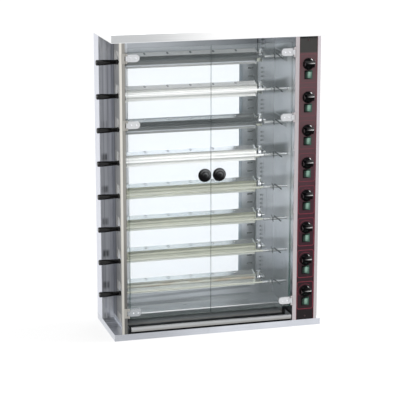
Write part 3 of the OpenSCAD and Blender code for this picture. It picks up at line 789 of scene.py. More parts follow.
def band_steel(name, tube):
    """Burner bands: pale lips with painted highlights and painted shade by level, faces painted dark or
    white above as painted reflections, straw heat tint on the lower four, a painted shadow under the lips
    and painted shade in the lip holes.
    """
    c = colours()
    f = Finish(name)
    x = f.x
    z = f.z
    level = level_number(z)
    rel = spit_height(z)
    dark = dark_levels(level)
    white = white_levels(level)
    straw = 1 - upper_half(level)
    lowest = level.equals(0.0)
    lines = f.noise((3, 300, 300), 2.0)
    cloud = f.noise((9, 40, 40), 4.0)
    spots = f.noise((30, 60, 60), 5.0, 0.65)
    far = x.step(BAND_LOW.x + 0.08, BAND_END - 0.04)
    face_top = BAND_UP - LIP_DROP
    face = rel.inside(0.008 - BAND_DOWN, face_top - 0.0025, 0.0012)
    foot = rel.step(0.015 - BAND_DOWN, 0.012 - BAND_DOWN)
    hem = rel.step(0.009 - BAND_DOWN, 0.005 - BAND_DOWN)
    crest = rel.step(BAND_UP - 0.007, BAND_UP - 0.004)

    tone = 0.5 + lines.sway(0.4) + cloud.sway(0.4)
    lip = f.shades(tone, c.band, 0.88, 1.10)
    # Lips painted darker at the dark levels as painted shade, and white at the white levels and the top
    # one as painted highlights.
    lip = lip.under(dark * 0.8, c.band, 0.42)
    lip = lip.under(white * 0.8 + level.equals(7.0) * 0.8, WHITE_LIP)
    lip = lip.under(straw * far * 0.40, c.band, 0.45)
    lip = lip.under(crest * level.equals(5.0) * 0.5, c.soot_and_shade, 3.0)

    # Painted shade on the dark faces, deepest just under the lip, with a pale lower hem.
    shade = (rel + far * 0.009).inside(-0.027, -0.005, 0.004)
    night = f.mix(shade, rgba(c.band, 0.12), rgba(c.soot_and_shade, 0.2))
    night = night.under(foot, PALE_FOOT)
    tint = f.shades(0.5 + cloud.sway(1.5), c.straw, 0.80, 1.22)
    tint = tint.under(lowest * 0.65, c.band, 0.98)
    tint = tint.under(spots.step(0.64, 0.80) * 0.45, SCORCH)

    # Faces painted dark at the dark levels and white at the white levels: painted reflections.
    base = f.mix(face * dark, lip, night)
    base = base.under(face * white, WHITE_FACE)
    base = f.mix((face * 0.88 + 0.10) * straw, base, tint)
    if tube:
        base = base.under((1 - dark) * (1 - white) * 0.5, c.straw, 0.62)
        base = base.under(lowest * cloud.step(0.40, 0.62) * 0.6, BURNT_BROWN)
    # Painted shadow under the lip: strong at the dark levels, faint on the lower four.
    lip_shadow = rel.inside(face_top - 0.0050, face_top - 0.0008, 0.0010)
    base = base.under(lip_shadow * (dark * 0.8 + straw * 0.12), c.soot_and_shade)
    base = base.under(rel.inside(-0.011, -0.003, 0.0012) * white * 0.5, c.soot_and_shade, 3.0)
    base = base.under(rel.inside(-0.053, -0.042, 0.003) * white * 0.75, c.band, 0.40)

    # Dark spots round the lip holes: painted shade in the holes.
    across = (x - (BAND_LOW.x + BAND_END) / 2) / LIP_HOLE_GAP
    across = (across - (across + 0.5).floor()) * LIP_HOLE_GAP
    along = rel - BAND_UP + 0.005
    hole = (across * across + along * along * 2.0).root().step(0.0065, 0.0045)
    hole = hole * x.step(BAND_END - 0.010, BAND_END - 0.012)
    base = base.under(hole * (1 - face) * 0.92, c.soot_and_shade, 0.5)
    bracket = x.step(BAND_END + 0.0002, BAND_END + 0.001)
    stain = f.mix(spots.step(0.46, 0.60), rgba(c.straw, 0.80), rgba(c.soot_and_shade))
    base = f.mix(bracket * 0.9, base, stain)

    rough = TUBE_ROUGH if tube else BAND_ROUGH
    top_two = level.step(5.2, 5.8)
    return f.close(
        Base_Color=base,
        Metallic=0.85 - face * 0.10 - (1 - face) * top_two.most(hem) * 0.6,
        Specular_IOR_Level=0.2,
        Roughness=rough + face * 0.12 + cloud.sway(0.2) + lines.sway(0.08),
        Normal=f.bump(lines, 0.10, RELIEF),
    )


def right_wall_steel():
    """Right wall: bright satin sheet with painted light higher up, painted shade towards the rear, beside
    the bands and near the floor, painted reflections of the bands, fat drips, and its front post.
    """
    c = colours()
    f = Sheet("right_wall_steel", "Y")
    drips = f.noise((45, 45, 3.5), 4.0, 0.6)
    cloud = f.noise((4, 7, 7), 3.0)
    y = f.y
    z = f.z
    level = level_number(z)
    rel = spit_height(z)
    rise = z.step(0.26, 0.60)
    rear = y.step(FRONT_Y + 0.06, REAR_Y)
    wall = f.shades(f.tone, c.wall, 0.86, 1.14)
    # Painted light brightening the wall higher up, and painted shade towards the rear.
    wall = wall.under(rise * 0.85, BRIGHT_WALL)
    wall = wall.under(rear * (0.10 + z.step(0.5, 1.1) * 0.12), c.back)
    wall = wall.under(cloud.step(0.35, 0.75) * (0.30 - rise * 0.18), c.back)
    # Painted dark reflections of the bands beside their right ends, with a bright top edge at the dark
    # levels.
    block = (rel + (y - REAR_Y) * 0.23).inside(-0.054, 0.008, 0.012) * y.step(-0.15, -0.02)
    wall = wall.under(block * (0.26 + upper_half(level) * 0.44), c.soot_and_shade, 2.0)
    mirrored = dark_levels(level) * y.step(-0.085, -0.060)
    wall = wall.under(mirrored * rel.inside(-0.034, 0.004, 0.004) * 0.45, c.soot_and_shade, 2.0)
    wall = wall.under(mirrored * rel.inside(0.004, 0.011, 0.002) * 0.5, c.sheet)
    # Painted shade near the floor; the drips above it are fat.
    wall = wall.under(z.step(*NEAR_FLOOR) * 0.66, c.soot_and_shade, 2.2)
    wall = wall.under(drips.step(0.54, 0.72) * z.step(0.75, 0.15) * 0.5, FAT_FILM)
    post = f.shades(f.tone, c.post, 0.92, 1.10)
    front = y.step(*FRONT_FACE)
    base = f.mix(front, wall, post)
    return f.satin(base, 0.30, 0.08, 0.10, relief=0.06, metal=1.0 - front * 0.35)


def rear_frame_steel():
    """Rear frame: grey sheet with painted shade at the window's right bend, in blocks beside the bands,
    near the floor and at the vent holes, a painted highlight along the window's left edge, and dark
    drips.
    """
    c = colours()
    f = Sheet("rear_frame_steel", "Z")
    drips = f.noise((60, 60, 4), 4.0, 0.6)
    x = f.x
    z = f.z
    rel = spit_height(z)
    left = x.step(WINDOW_LEFT, WINDOW_LEFT - 0.020)
    right = x.step(WINDOW_RIGHT - 0.06, WINDOW_RIGHT + 0.06)
    inner = x.step(BAND_END, BAND_END - 0.02)
    beside = z.step(LOW_Z - BAND_DOWN, LOW_Z - BAND_DOWN + 0.002)
    base = f.shades(f.tone, c.back, 0.80, 1.20)
    base = base.under(left * 0.6, c.flange, 0.62)
    # Painted shadow in the bend at the window's right edge, painted highlight along its left edge.
    fold_shadow = x.inside(WINDOW_RIGHT - 0.002, WINDOW_RIGHT + 0.0042, 0.0012) * beside
    base = base.under(fold_shadow * 0.85, c.soot_and_shade)
    bright = x.inside(WINDOW_LEFT - 0.006, WINDOW_LEFT + 0.002, 0.0012) * beside
    base = base.under(bright * 0.6, c.sheet)
    base = base.under(z.step(0.90, 0.45) * 0.60, c.wall, 0.8)
    # Painted shade towards the window's right side.
    shade = x.step(WINDOW_RIGHT + 0.075, WINDOW_RIGHT) * x.step(0.0, WINDOW_RIGHT)
    base = base.under(shade * (1 - left) * 0.28, c.soot_and_shade, 2.0)
    base = base.under(z.step(1.37, 1.40) * x.step(0.10, -0.30) * 0.5, c.wall)
    pale = z.step(0.50, 0.80) * x.step(WINDOW_RIGHT, WINDOW_RIGHT + 0.03)
    base = base.under(pale * 0.15, c.wall)
    # Painted shade near the floor; the drips beside it are burnt film.
    base = base.under(z.step(*NEAR_FLOOR) * right * 0.62, c.soot_and_shade, 2.2)
    base = base.under(drips.step(0.56, 0.70) * right * 0.45, c.soot_and_shade, 2.0)
    # Painted shade in blocks behind the bands' right ends.
    block = rel.inside(-0.056, 0.008, 0.012) * x.step(BAND_END + 0.040, BAND_END + 0.050)
    base = base.under(block * (0.40 + upper_half(level_number(z)) * 0.45), c.soot_and_shade, 2.0)
    image = abs(z - 0.117 - (x + 0.27) * 0.03)
    base = base.under(image.step(0.010, 0.003) * inner * 0.50, c.soot_and_shade, 2.0)
    stripe = z.inside(0.088, 0.099, 0.003) * x.step(-0.25, 0.10)
    base = base.under(stripe * inner * 0.50, c.soot_and_shade, 2.0)

    # Painted shade at the vent holes.
    gap = rel - (PITCH + BAND_UP - BAND_DOWN) / 2 + LOUVRE_LOW
    gap = gap + PITCH * gap.step(-0.09, -0.0901)
    hole_z = gap - ((gap / (LOUVRE_GAP / 2)).floor() + 0.5) * (LOUVRE_GAP / 2)
    hole_x = (x - ELBOW_X + 0.004) * 0.5
    hole = (hole_x * hole_x + hole_z * hole_z).root().step(0.0060, 0.0040)
    hole = hole * abs(gap).step(LOUVRE_GAP, LOUVRE_GAP - 0.002) * beside
    base = base.under(hole * 0.6, c.soot_and_shade)
    return f.satin(base, 0.33, wiped=0.12, relief=0.08)


def back_panel_steel():
    """Back panel: darker at the top, lighter and dusty lower down."""
    c = colours()
    f = Sheet("back_panel_steel", "Z")
    dust = f.noise((18, 18, 9), 5.0, 0.6)
    z = f.z
    window = f.x.step(0.275, 0.20)
    base = f.shades(f.tone, c.back, 0.85, 1.35)
    base = base.under(z.step(1.05, 0.45) * (0.45 + dust.sway(0.8)), c.wall, 0.9)
    base = base.under(z.inside(0.38, 0.72, 0.06) * 0.45, c.wall)
    base = base.under(z.step(0.72, 0.92) * window * 0.45, c.soot_and_shade)
    return f.close(
        Base_Color=base,
        Metallic=1.0,
        Roughness=0.36 + f.fine.sway(0.10) + dust.sway(0.16),
        Normal=f.bump(f.fine, 0.10, RELIEF),
    )


def left_wall_steel():
    """Left wall: cream flange with painted shade on its inner half and at its bend, warm grey sheet
    behind it with painted highlights at the spit slots, painted corner shade at the seam and a painted
    bright foot.
    """
    c = colours()
    f = Sheet("left_wall_steel", "Z")
    drips = f.noise((60, 60, 9), 4.0, 0.6)
    streak = f.noise((60, 85, 0.6), 4.0, 0.6)
    low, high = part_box("left_wall")
    x = f.x
    y = f.y
    z = f.z
    rel = spit_height(z)

    outside = f.shades(f.tone, c.recess, 0.75, 1.25)
    outside = outside.under(drips.step(0.50, 0.66) * z.step(1.1, 0.3) * 0.5, c.soot_and_shade)
    brushing = f.shades(0.5 + streak.sway(1.7), c.column, 0.50, 1.45)
    outside = f.mix(y.step(SEAM_Y - 0.002, SEAM_Y + 0.002), outside, brushing)
    # Dark line at the seam: painted corner shade.
    outside = outside.under(y.inside(SEAM_Y - 0.012, SEAM_Y + 0.006, 0.005) * 0.8, c.soot_and_shade)
    outside = outside.under(z.step(0.60, 0.12) * 0.25, c.soot_and_shade, 1.5)
    # Painted highlight round each spit slot, with a dark line along its edge.
    slot_highlight = rel.inside(-0.002, 0.046, 0.004) * y.inside(-0.072, 0.010, 0.006)
    outside = outside.under(slot_highlight * (0.55 + rel.step(0.046, 0.010) * 0.40), c.flange, 1.15)
    edge = rel.inside(-0.046, 0.046, 0.004) * y.inside(-0.016, -0.006, 0.002)
    outside = outside.under(edge * 0.6, c.soot_and_shade)
    # Painted reflection of the base: a bright foot.
    outside = outside.under(z.step(0.058, 0.050) * 0.9, c.sheet)
    wall = f.shades(f.tone, c.wall, 0.85, 1.15)
    wall = f.mix(x.step(high.x - 0.0008, high.x - 0.0012), wall, outside)

    inner = x.step(low.x + 0.012, low.x + 0.015)
    lip = f.shades(f.tone, c.flange, 0.78, 0.96)
    lip = lip.under(x.step(low.x + 0.003, low.x + 0.001), c.recess)
    # Painted shade on the flange's inner half and along the bend; darker towards the bottom.
    lip = lip.under(inner, c.flange, 0.36)
    lip = lip.under(x.inside(low.x + 0.0130, low.x + 0.0160, 0.0006) * 0.6, c.recess, 0.5)
    lip = lip.under(z.step(0.75, 0.10) * (0.28 + inner * 0.85), c.recess, 0.30)
    lip = lip.under(inner * streak.step(0.52, 0.60) * 0.35, c.recess, 0.5)
    front = y.step(*FRONT_FACE)
    base = f.mix(front, wall, lip)
    return f.satin(base, 0.32, wiped=0.12, relief=0.08, metal=1.0 - front * 0.4)


def tray_steel():
    """Drip tray: pale front bar with painted shade on its lower half, dark fat film inside with a painted
    shadow near the front and a painted light line, and the front wall under the bar painted dark as
    shade.
    """
    c = colours()
    f = Finish("tray_steel")
    low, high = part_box("drip_tray")
    y = f.y
    cloud = f.noise((7, 9, 30), 5.0, 0.6)
    pools = f.noise((16, 24, 24), 4.0)
    lines = f.noise((5, 500, 500), 2.0)
    bar = y.step(low.y + 0.0135, low.y + 0.0120)
    # The front wall under the bar is painted dark: painted shade.
    front = y.inside(low.y + 0.0130, low.y + 0.0160, 0.0004)
    # Painted shadow near the front, with a ragged edge.
    front_shadow = (y + pools.sway(0.012)).inside(low.y + 0.094, low.y + 0.143, 0.010)
    film = f.shades(0.5 + cloud.sway(1.1), c.tray, 1.3, 2.8)
    # Painted light line across the film, a painted reflection.
    film = film.under(y.inside(low.y + 0.146, low.y + 0.168, 0.004) * 0.85, c.recess, 0.9)
    film = film.under(front_shadow * 0.95, c.soot_and_shade, 0.2)
    film = film.under(front, c.soot_and_shade, 0.2)
    tone = 0.5 + lines.sway(0.4) + cloud.sway(0.5)
    clean = f.shades(tone, c.sheet, 0.42, 0.66)
    # Painted shade on the bar's lower half.
    clean = clean.under(f.z.step(high.z - 0.006, high.z - 0.016) * 0.75, c.recess, 0.8)
    wet = pools.step(0.48, 0.62) * (1 - bar)
    return f.close(
        Base_Color=f.mix(bar, film, clean),
        Metallic=0.25 + bar * 0.65,
        Roughness=0.52 - wet * 0.08 - bar * 0.20 + lines.sway(0.08),
        Specular_IOR_Level=0.08,
        Coat_Weight=wet * (1 - front) * 0.1,
        Normal=f.bump(cloud, 0.10, 0.001),
    )


def deflector_steel():
    """Sloping floor: pale sheet that darkens to the right, a dark rear edge and a bright hem."""
    c = colours()
    f = Finish("deflector_steel")
    low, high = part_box("floor_deflector")
    x = f.x
    y = f.y
    lines = f.noise((4, 500, 500), 2.0)
    runs = f.noise((40, 5, 5), 4.0, 0.6)
    cloud = f.noise((6, 14, 14), 4.0)
    along = (y - low.y) / (high.y - low.y) + cloud.sway(0.05)
    rear = along.step(0.64, 0.76) * (0.80 - x.step(-0.15, 0.15) * 0.70)
    hem = y.step(low.y + 0.0090, low.y + 0.0078)
    tone = 0.5 + lines.sway(0.35) + runs.sway(0.4) + cloud.sway(0.6)
    base = f.shades(tone, c.deflector, 0.95, 1.35)
    base = base.under(along.step(0.50, 0.60) * 0.3, c.straw, 0.8)
    base = base.under(rear, c.soot_and_shade, 2.0)
    base = base.under(along.inside(0.06, 0.12, 0.03) * 0.30, c.soot_and_shade, 3.0)
    base = f.mix(hem, base, f.shades(x.step(0.05, 0.34), c.sheet, 0.92, 0.36))
    base = base.under(x.step(0.02, 0.32) * (1 - hem) * 0.75, c.soot_and_shade, 2.2)
    return f.close(
        Base_Color=base,
        Metallic=0.85,
        Roughness=0.32 + cloud.sway(0.24) + lines.sway(0.08),
        Normal=f.bump(lines, 0.10, RELIEF),
    )


def casing_steel():
    """Control column: its front strip pale pinkish, its sides plain sheet, darker towards the floor."""
    c = colours()
    f = Sheet("casing_steel", "Z")
    strip = f.shades(f.tone, c.casing, 0.86, 1.14)
    sides = f.shades(f.tone, c.sheet, 0.80, 1.0)
    base = f.mix(f.looks("-Y"), sides, strip)
    base = base.under(f.z.step(1.15, 0.20) * 0.45, c.recess)
    return f.satin(base, 0.32, wiped=0.12, metal=0.8)


def base_steel():
    """Base pan: bluish brushed sheet, darker at the front left and on the recess floor, with a painted
    shadow under the tray.
    """
    c = colours()
    f = Sheet("base_steel", "X")
    low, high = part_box("drip_tray")
    x = f.x
    y = f.y
    up = f.looks("+Z")
    streak = f.noise((3, 60, 160), 3.0)
    base = f.shades(f.tone + streak.sway(0.5), c.base, 0.78, 1.2)
    base = base.under(f.looks("-Y") * x.step(0.05, -0.40) * 0.7, c.base, 0.58)
    recess = up * x.step(-0.470, -0.476) * y.step(FRONT_Y + 0.02, FRONT_Y + 0.14)
    base = base.under(recess * (streak * 2.0 - 0.3).most(0.2).least(0.9), c.base, 0.24)
    # Painted shadow on the base under the tray.
    painted_shade = up * x.inside(low.x - 0.004, high.x + 0.004, 0.001)
    painted_shade = painted_shade * y.step(low.y + 0.001, low.y + 0.004)
    base = base.under(painted_shade * 0.92, c.soot_and_shade, 0.5)
    return f.satin(base, 0.30 + painted_shade * 0.3, relief=0.12)


def screw_steel():
    """Screws: plain steel at the back, blackened on the control panel."""
    c = colours()
    f = Sheet("screw_steel", "X")
    front = f.y.step(0.02, -0.02)
    base = f.shades(f.tone, c.rod, 0.8, 1.25).under(front, c.haze, 0.6)
    return f.satin(base, 0.32, relief=0.0, metal=1.0 - front * 0.6)


def panel_print():
    """Maroon control panel with a fine rounded frame, an arc at every level and a painted shadow under
    the cap.
    """
    c = colours()
    f = Finish("panel_print")
    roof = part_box("control_panel")[1].z
    x = f.x - KNOB_X
    z = f.z
    grain = f.noise((900, 900, 900), 2.0)
    cloud = f.noise((8, 8, 5), 3.0)
    centre = LOW_Z - KNOB_DROP - FRAME_DROP
    level = level_number(z, centre).most(0.0).least(7.0)
    rel = z - centre - level * PITCH

    qx = abs(x) - (FRAME_HALF_X - FRAME_ROUND)
    qz = abs(rel) - (FRAME_HALF_Z - FRAME_ROUND)
    ox = qx.most(0.0)
    oz = qz.most(0.0)
    edge = (ox * ox + oz * oz).root() + qx.most(qz).least(0.0) - FRAME_ROUND
    line = abs(edge).step(0.0016, 0.0007)
    kz = rel - FRAME_DROP
    ring = (x * x + kz * kz).root()
    arc = abs(ring - ARC_RADIUS).step(0.0012, 0.0005) * (x - kz).inside(-0.060, -0.006, 0.003)
    border = abs(abs(x) - BORDER_X).step(0.0014, 0.0007)
    top = z.step(centre + 7 * PITCH + 0.074, centre + 7 * PITCH + 0.082)
    foot = z.step(centre - 0.074, centre - 0.082)

    haze = z.step(0.45, 1.25) * 0.9 + cloud.sway(0.25)
    ground = f.mix(haze, rgba(c.maroon), rgba(c.haze))
    ground = ground.under(top, PANEL_HEAD)
    ground = ground.under(foot * 0.8, PANEL_FOOT)
    ground = ground.under(z.step(0.60, 0.15) * 0.42 + z.step(1.20, 0.30) * 0.26, c.black)
    # Painted shadow under the cap.
    ground = ground.under(z.step(roof - 0.014, roof - 0.004) * 0.85, c.black)
    inked = (line.most(arc * 0.7) * (1 - top) * (1 - foot)).most(border * 0.8)
    return f.close(
        Base_Color=ground.under(inked * (0.80 - z.step(0.40, 1.10) * 0.52), c.line),
        Roughness=0.36 + cloud.sway(0.12) + grain.sway(0.08),
        Specular_IOR_Level=0.18,
        Normal=f.bump(grain, 0.05, 0.0001),
    )


def black_moulding(name, rough, wear, shine, gloss=0.0, ridge_highlight=0.0):
    """Moulded black plastic with a faint orange peel, dull spots of wear, a gloss on its slopes and a
    painted highlight along the top of a knob's ridge.
    """
    c = colours()
    f = Finish(name)
    peel = f.noise((420, 420, 420), 2.0)
    dull = f.noise((38, 38, 38), 4.0).step(0.50, 0.68)
    slope = f.node("ShaderNodeLayerWeight", None, {"Blend": 0.5}, out="Facing")
    up = f.axis("Z", f.facing)
    # Painted highlight along the top of a knob's ridge.
    ridge = up.step(0.50, 0.62) * (f.x - KNOB_X).step(-0.016, 0.020)
    ridge = ridge * (f.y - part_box("knob_1")[0].y).step(0.0075, 0.003)
    base = f.mix(dull * wear, rgba(c.black), rgba(c.black, 3.0))
    return f.close(
        Base_Color=base.under(ridge * ridge_highlight, RIDGE_HIGHLIGHT_GREY),
        Roughness=rough + dull * 0.14 + peel.sway(0.06),
        Specular_IOR_Level=shine,
        Coat_Weight=slope.step(0.22, 0.55) * up.step(-0.25, 0.10) * gloss,
        Coat_Roughness=0.08,
        Coat_IOR=2.2,
        Normal=f.bump(peel, 0.06, RELIEF),
    )


def pull_moulding():
    """Door pulls: black plastic with painted highlights in grey rings, strongest on the upper side."""
    c = colours()
    f = Finish("pull_black")
    low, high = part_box("left_pull")
    seam = (low.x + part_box("right_pull")[1].x) / 2
    radius = (high.x - low.x) / 2
    x = f.x - seam
    x = x - (x.step(-0.001, 0.001) * 2 - 1) * (seam - low.x - radius)
    z = f.z - (low.z + high.z) / 2
    away = (x * x + z * z).root() / radius
    # Painted highlights: grey rings, strongest on the upper side.
    rings = away.inside(0.26, 0.46, 0.06) + away.inside(0.66, 0.82, 0.05) * 0.8
    speckle = f.noise((70, 70, 70), 3.0)
    upper = ((x * 0.5 + z * 0.86) / radius).step(-0.35, 0.9)
    grey = (rings * 0.7 + 0.3) * upper * speckle * 1.7
    return f.close(
        Base_Color=f.mix(grey, rgba(c.black), rgba(RING_HIGHLIGHT_GREY)),
        Roughness=0.24 + grey * 0.2,
        Specular_IOR_Level=0.07,
        Normal=f.bump(speckle, 0.05, 0.0003),
    )


def bezel_moulding():
    """Switch bezels: black plastic with the lamp's green glow painted on towards its right side."""
    c = colours()
    f = Finish("bezel_black")
    peel = f.noise((420, 420, 420), 2.0)
    # Painted glow of the lamp towards the right side.
    glow = (f.x - KNOB_X).step(-0.006, 0.016) * (0.4 + peel * 0.8)
    return f.close(
        Base_Color=f.mix(glow, rgba(c.black), rgba(LAMP_GLOW)),
        Roughness=0.34 + peel.sway(0.06),
        Specular_IOR_Level=0.10,
        Normal=f.bump(peel, 0.06, RELIEF),
    )


def green_lens():
    """Translucent green rocker, painted lighter towards its upper right as painted light, with a faint
    glow of its lamp in the same pattern.
    """
    c = colours()
    f = Finish("green_lens")
    x = f.x - KNOB_X
    rel = spit_height(f.z, LOW_Z - SWITCH_DROP)
    cloud = f.noise((160, 160, 160), 3.0)
    # Painted light: lighter towards the upper right and the top.
    lit = x.step(-0.009, 0.002) * (1 - x.step(0.006, 0.012) * 0.45) + cloud.sway(0.2)
    lit = lit * (0.45 + rel.step(-0.018, 0.004) * 0.55)
    return f.close(
        Base_Color=f.mix(lit, rgba(c.lens), rgba(c.lens_light)),
        Roughness=0.22 + cloud.sway(0.12),
        Specular_IOR_Level=0.25,
        Emission_Color=f.mix(lit, rgba(c.lens, 0.5), rgba(c.lens_light, 0.5)),
        Emission_Strength=0.20,
        Normal=f.bump(cloud, 0.04, 0.0003),
    )


def pane(name, tint, clear, rim):
    """Clear pane: a faint tint on its faces, dark green at its cut edges and along its outer rim."""
    c = colours()
    f = Finish(name)
    x = f.x
    patches = f.noise((5, 5, 3), 4.0)
    edge = abs(f.axis("Y", f.facing)).step(0.8, 0.4)
    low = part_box("left_glass")[0].x
    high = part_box("right_glass")[1].x
    start = (high - low) / 2 - rim
    outer = abs(x - (low + high) / 2).step(start, start + 0.001)
    cut = edge * (0.85 - outer * 0.45)
    outer = outer * (0.55 - f.z.step(0.20, 0.90) * 0.45)
    outer = outer * (0.5 + x.step(-0.2, 0.2) * 0.5)
    tilt = f.node("ShaderNodeLayerWeight", None, {"Blend": 0.25}, out="Fresnel")
    film = clear + tilt * 0.22 + patches.sway(0.02)
    return f.close(
        Base_Color=f.mix(edge.most(outer.step(0.0, 0.1)), rgba(tint), rgba(c.edge)),
        Roughness=0.04 + patches.step(0.55, 0.75) * 0.08,
        Alpha=film.most(cut).most(outer),
        Specular_IOR_Level=0.35,
    )


def clamp_steel():
    """Door clamps: polished steel, with painted shade on the lowest left one."""
    c = colours()
    f = Sheet("clamp_steel", "X")
    # Painted shade on the lowest left clamp.
    painted_shade = f.z.step(0.60, 0.25) * f.x.step(0.1, -0.2)
    base = f.shades(f.tone, c.chrome, 0.70, 0.98).under(painted_shade * 0.7, c.back)
    return f.satin(base, 0.28, relief=0.06)


def bracket_steel():
    """Hinge brackets: toned like the flange on the left and the post on the right."""
    c = colours()
    f = Sheet("bracket_steel", "X")
    base = f.mix(f.x.step(-0.1, 0.1), rgba(c.flange, 0.46), rgba(c.post))
    return f.satin(base.under(f.tone * 0.3, c.recess), 0.34, relief=0.0, metal=0.65)


def hood_steel():
    """Louvre hoods: grey sheet outside, painted dark inside as painted shade."""
    c = colours()
    f = Sheet("hood_steel", "X")
    # Painted shade: the inside of each hood is painted dark.
    inside = (0 - f.axis("Y", f.facing)).step(-0.1, 0.2)
    return f.close(
        Base_Color=f.shades(f.tone, c.back, 0.85, 1.2).under(inside, c.soot_and_shade, 0.3),
        Metallic=1.0 - inside * 0.9,
        Roughness=0.36 + inside * 0.4 + f.fine.sway(0.10),
    )


def union_steel():
    """Burner unions: bright sleeves with burnt spots between blackened nuts."""
    c = colours()
    f = Finish("union_steel")
    burnt = f.noise((70, 90, 90), 4.0, 0.6).step(0.44, 0.58) * 0.5
    nut = abs(f.x - UNION_X).step(0.0070, 0.0078)
    return f.close(
        Base_Color=f.mix(burnt.most(nut * 0.92), rgba(c.chrome, 1.3), rgba(c.soot_and_shade, 0.8)),
        Metallic=1.0,
        Roughness=0.18 + burnt * 0.6,
    )


def cast_brass():
    """Brass fittings with dull oxide patches."""
    c = colours()
    f = Finish("cast_brass")
    cloud = f.noise((45, 45, 45), 4.0)
    return f.close(
        Base_Color=f.shades(cloud.step(0.35, 0.7), c.brass, 0.55, 1.25),
        Metallic=1.0,
        Roughness=0.34 + cloud.sway(0.25),
    )


def motor_paint():
    """Dark paint with a fine hammered texture."""
    c = colours()
    f = Finish("motor_paint")
    dimple = f.noise((260, 260, 260), 2.0)
    return f.close(
        Base_Color=f.shades(f.noise((30, 30, 30), 3.0), c.paint, 0.7, 1.4),
        Roughness=0.46 + dimple.sway(0.2),
        Normal=f.bump(dimple, 0.25, 0.0004),
    )


# Operators

class BROILER_OT_stage(bpy.types.Operator):
    """Camera, soft studio light, pale floor and white surroundings"""

    bl_idname = "broiler.stage"
    bl_label = "Studio"

    def execute(self, context):
        scene = context.scene
        view = scene.broiler_view
        data = bpy.data.cameras.new("product_view")
        data.lens = view.lens
        data.sensor_width = 36.0
        data.clip_end = 100.0
        camera = bpy.data.objects.new("product_view", data)
        camera.location = view.place
        camera.rotation_euler = (math.pi / 2 - view.pitch, 0.0, -view.yaw)
        scene.collection.objects.link(camera)
        scene.camera = camera
        scene.view_settings.view_transform = "Standard"
        for name, values in SUNS.items():
            self.sun(scene, name, *values)
        self.floor(scene)
        self.surroundings(scene)
        return {"FINISHED"}

    def sun(self, scene, name, strength, spread, lean, heading):
        lamp = bpy.data.lights.new(name, "SUN")
        lamp.energy = strength
        lamp.angle = math.radians(spread)
        made = bpy.data.objects.new(name, lamp)
        made.rotation_euler = (math.radians(lean), 0.0, math.radians(heading))
        scene.collection.objects.link(made)

    def floor(self, scene):
        bm = bmesh.new()
        bmesh.ops.create_circle(bm, cap_ends=True, segments=96, radius=FLOOR_RADIUS)
        bmesh.ops.translate(bm, vec=(0, 0, FLOOR_Z), verts=bm.verts)
        mesh = bpy.data.meshes.new("studio_floor")
        bm.to_mesh(mesh)
        bm.free()
        made = bpy.data.objects.new("studio_floor", mesh)
        scene.collection.objects.link(made)
        f = Finish("studio_floor")
        paper = f.shades(f.noise((3, 3, 3), 2.0), colours().floor, 0.98, 1.02)
        matt = f.node("ShaderNodeBsdfDiffuse", None, {"Color": paper})
        glow = f.node("ShaderNodeEmission", None, {"Color": WHITE, "Strength": 1.0})
        share = self.seen(f) * FLOOR_GLOW
        both = f.node("ShaderNodeMixShader", None, {0: share, 1: matt, 2: glow})
        f.node("ShaderNodeOutputMaterial", None, {"Surface": both})
        mesh.materials.append(f.material)

    def seen(self, net):
        """1 for rays that show the surroundings themselves."""
        camera = net.node("ShaderNodeLightPath", out="Is Camera Ray")
        glossy = net.node("ShaderNodeLightPath", out="Is Glossy Ray")
        through = net.node("ShaderNodeLightPath", out="Is Transmission Ray")
        return camera.most(glossy).most(through)

    def surroundings(self, scene):
        world = bpy.data.worlds.new("studio")
        scene.world = world
        world.use_nodes = True
        net = Net(world.node_tree)
        level = SKY_LIGHT + self.seen(net) * (1 - SKY_LIGHT)
        back = net.node("ShaderNodeBackground", None, {"Color": WHITE, "Strength": level})
        net.node("ShaderNodeOutputWorld", None, {"Surface": back})


class BROILER_OT_cabinet(bpy.types.Operator):
    """Steel of the cabinet, column, casing and rear"""

    bl_idname = "broiler.cabinet"
    bl_label = "Cabinet steel"

    def execute(self, context):
        c = colours()
        dress(base_steel(), "base_plinth")
        dress(cap_steel(), "cap")
        dress(brushed("roof_steel", c.sheet, "X", 0.34, 0.18, 0.20), "roof_panel")
        dress(left_wall_steel(), "left_wall")
        dress(column_steel(), "left_column")
        dress(right_wall_steel(), "right_wall")
        dress(rear_frame_steel(), "rear_frame")
        dress(back_panel_steel(), "back_panel")
        dress(casing_steel(), "control_casing")
        return {"FINISHED"}


class BROILER_OT_floor_parts(bpy.types.Operator):
    """Sloping floor sheet and drip tray"""

    bl_idname = "broiler.floor_parts"
    bl_label = "Deflector and tray"

    def execute(self, context):
        dress(deflector_steel(), "floor_deflector")
        dress(tray_steel(), "drip_tray")
        return {"FINISHED"}


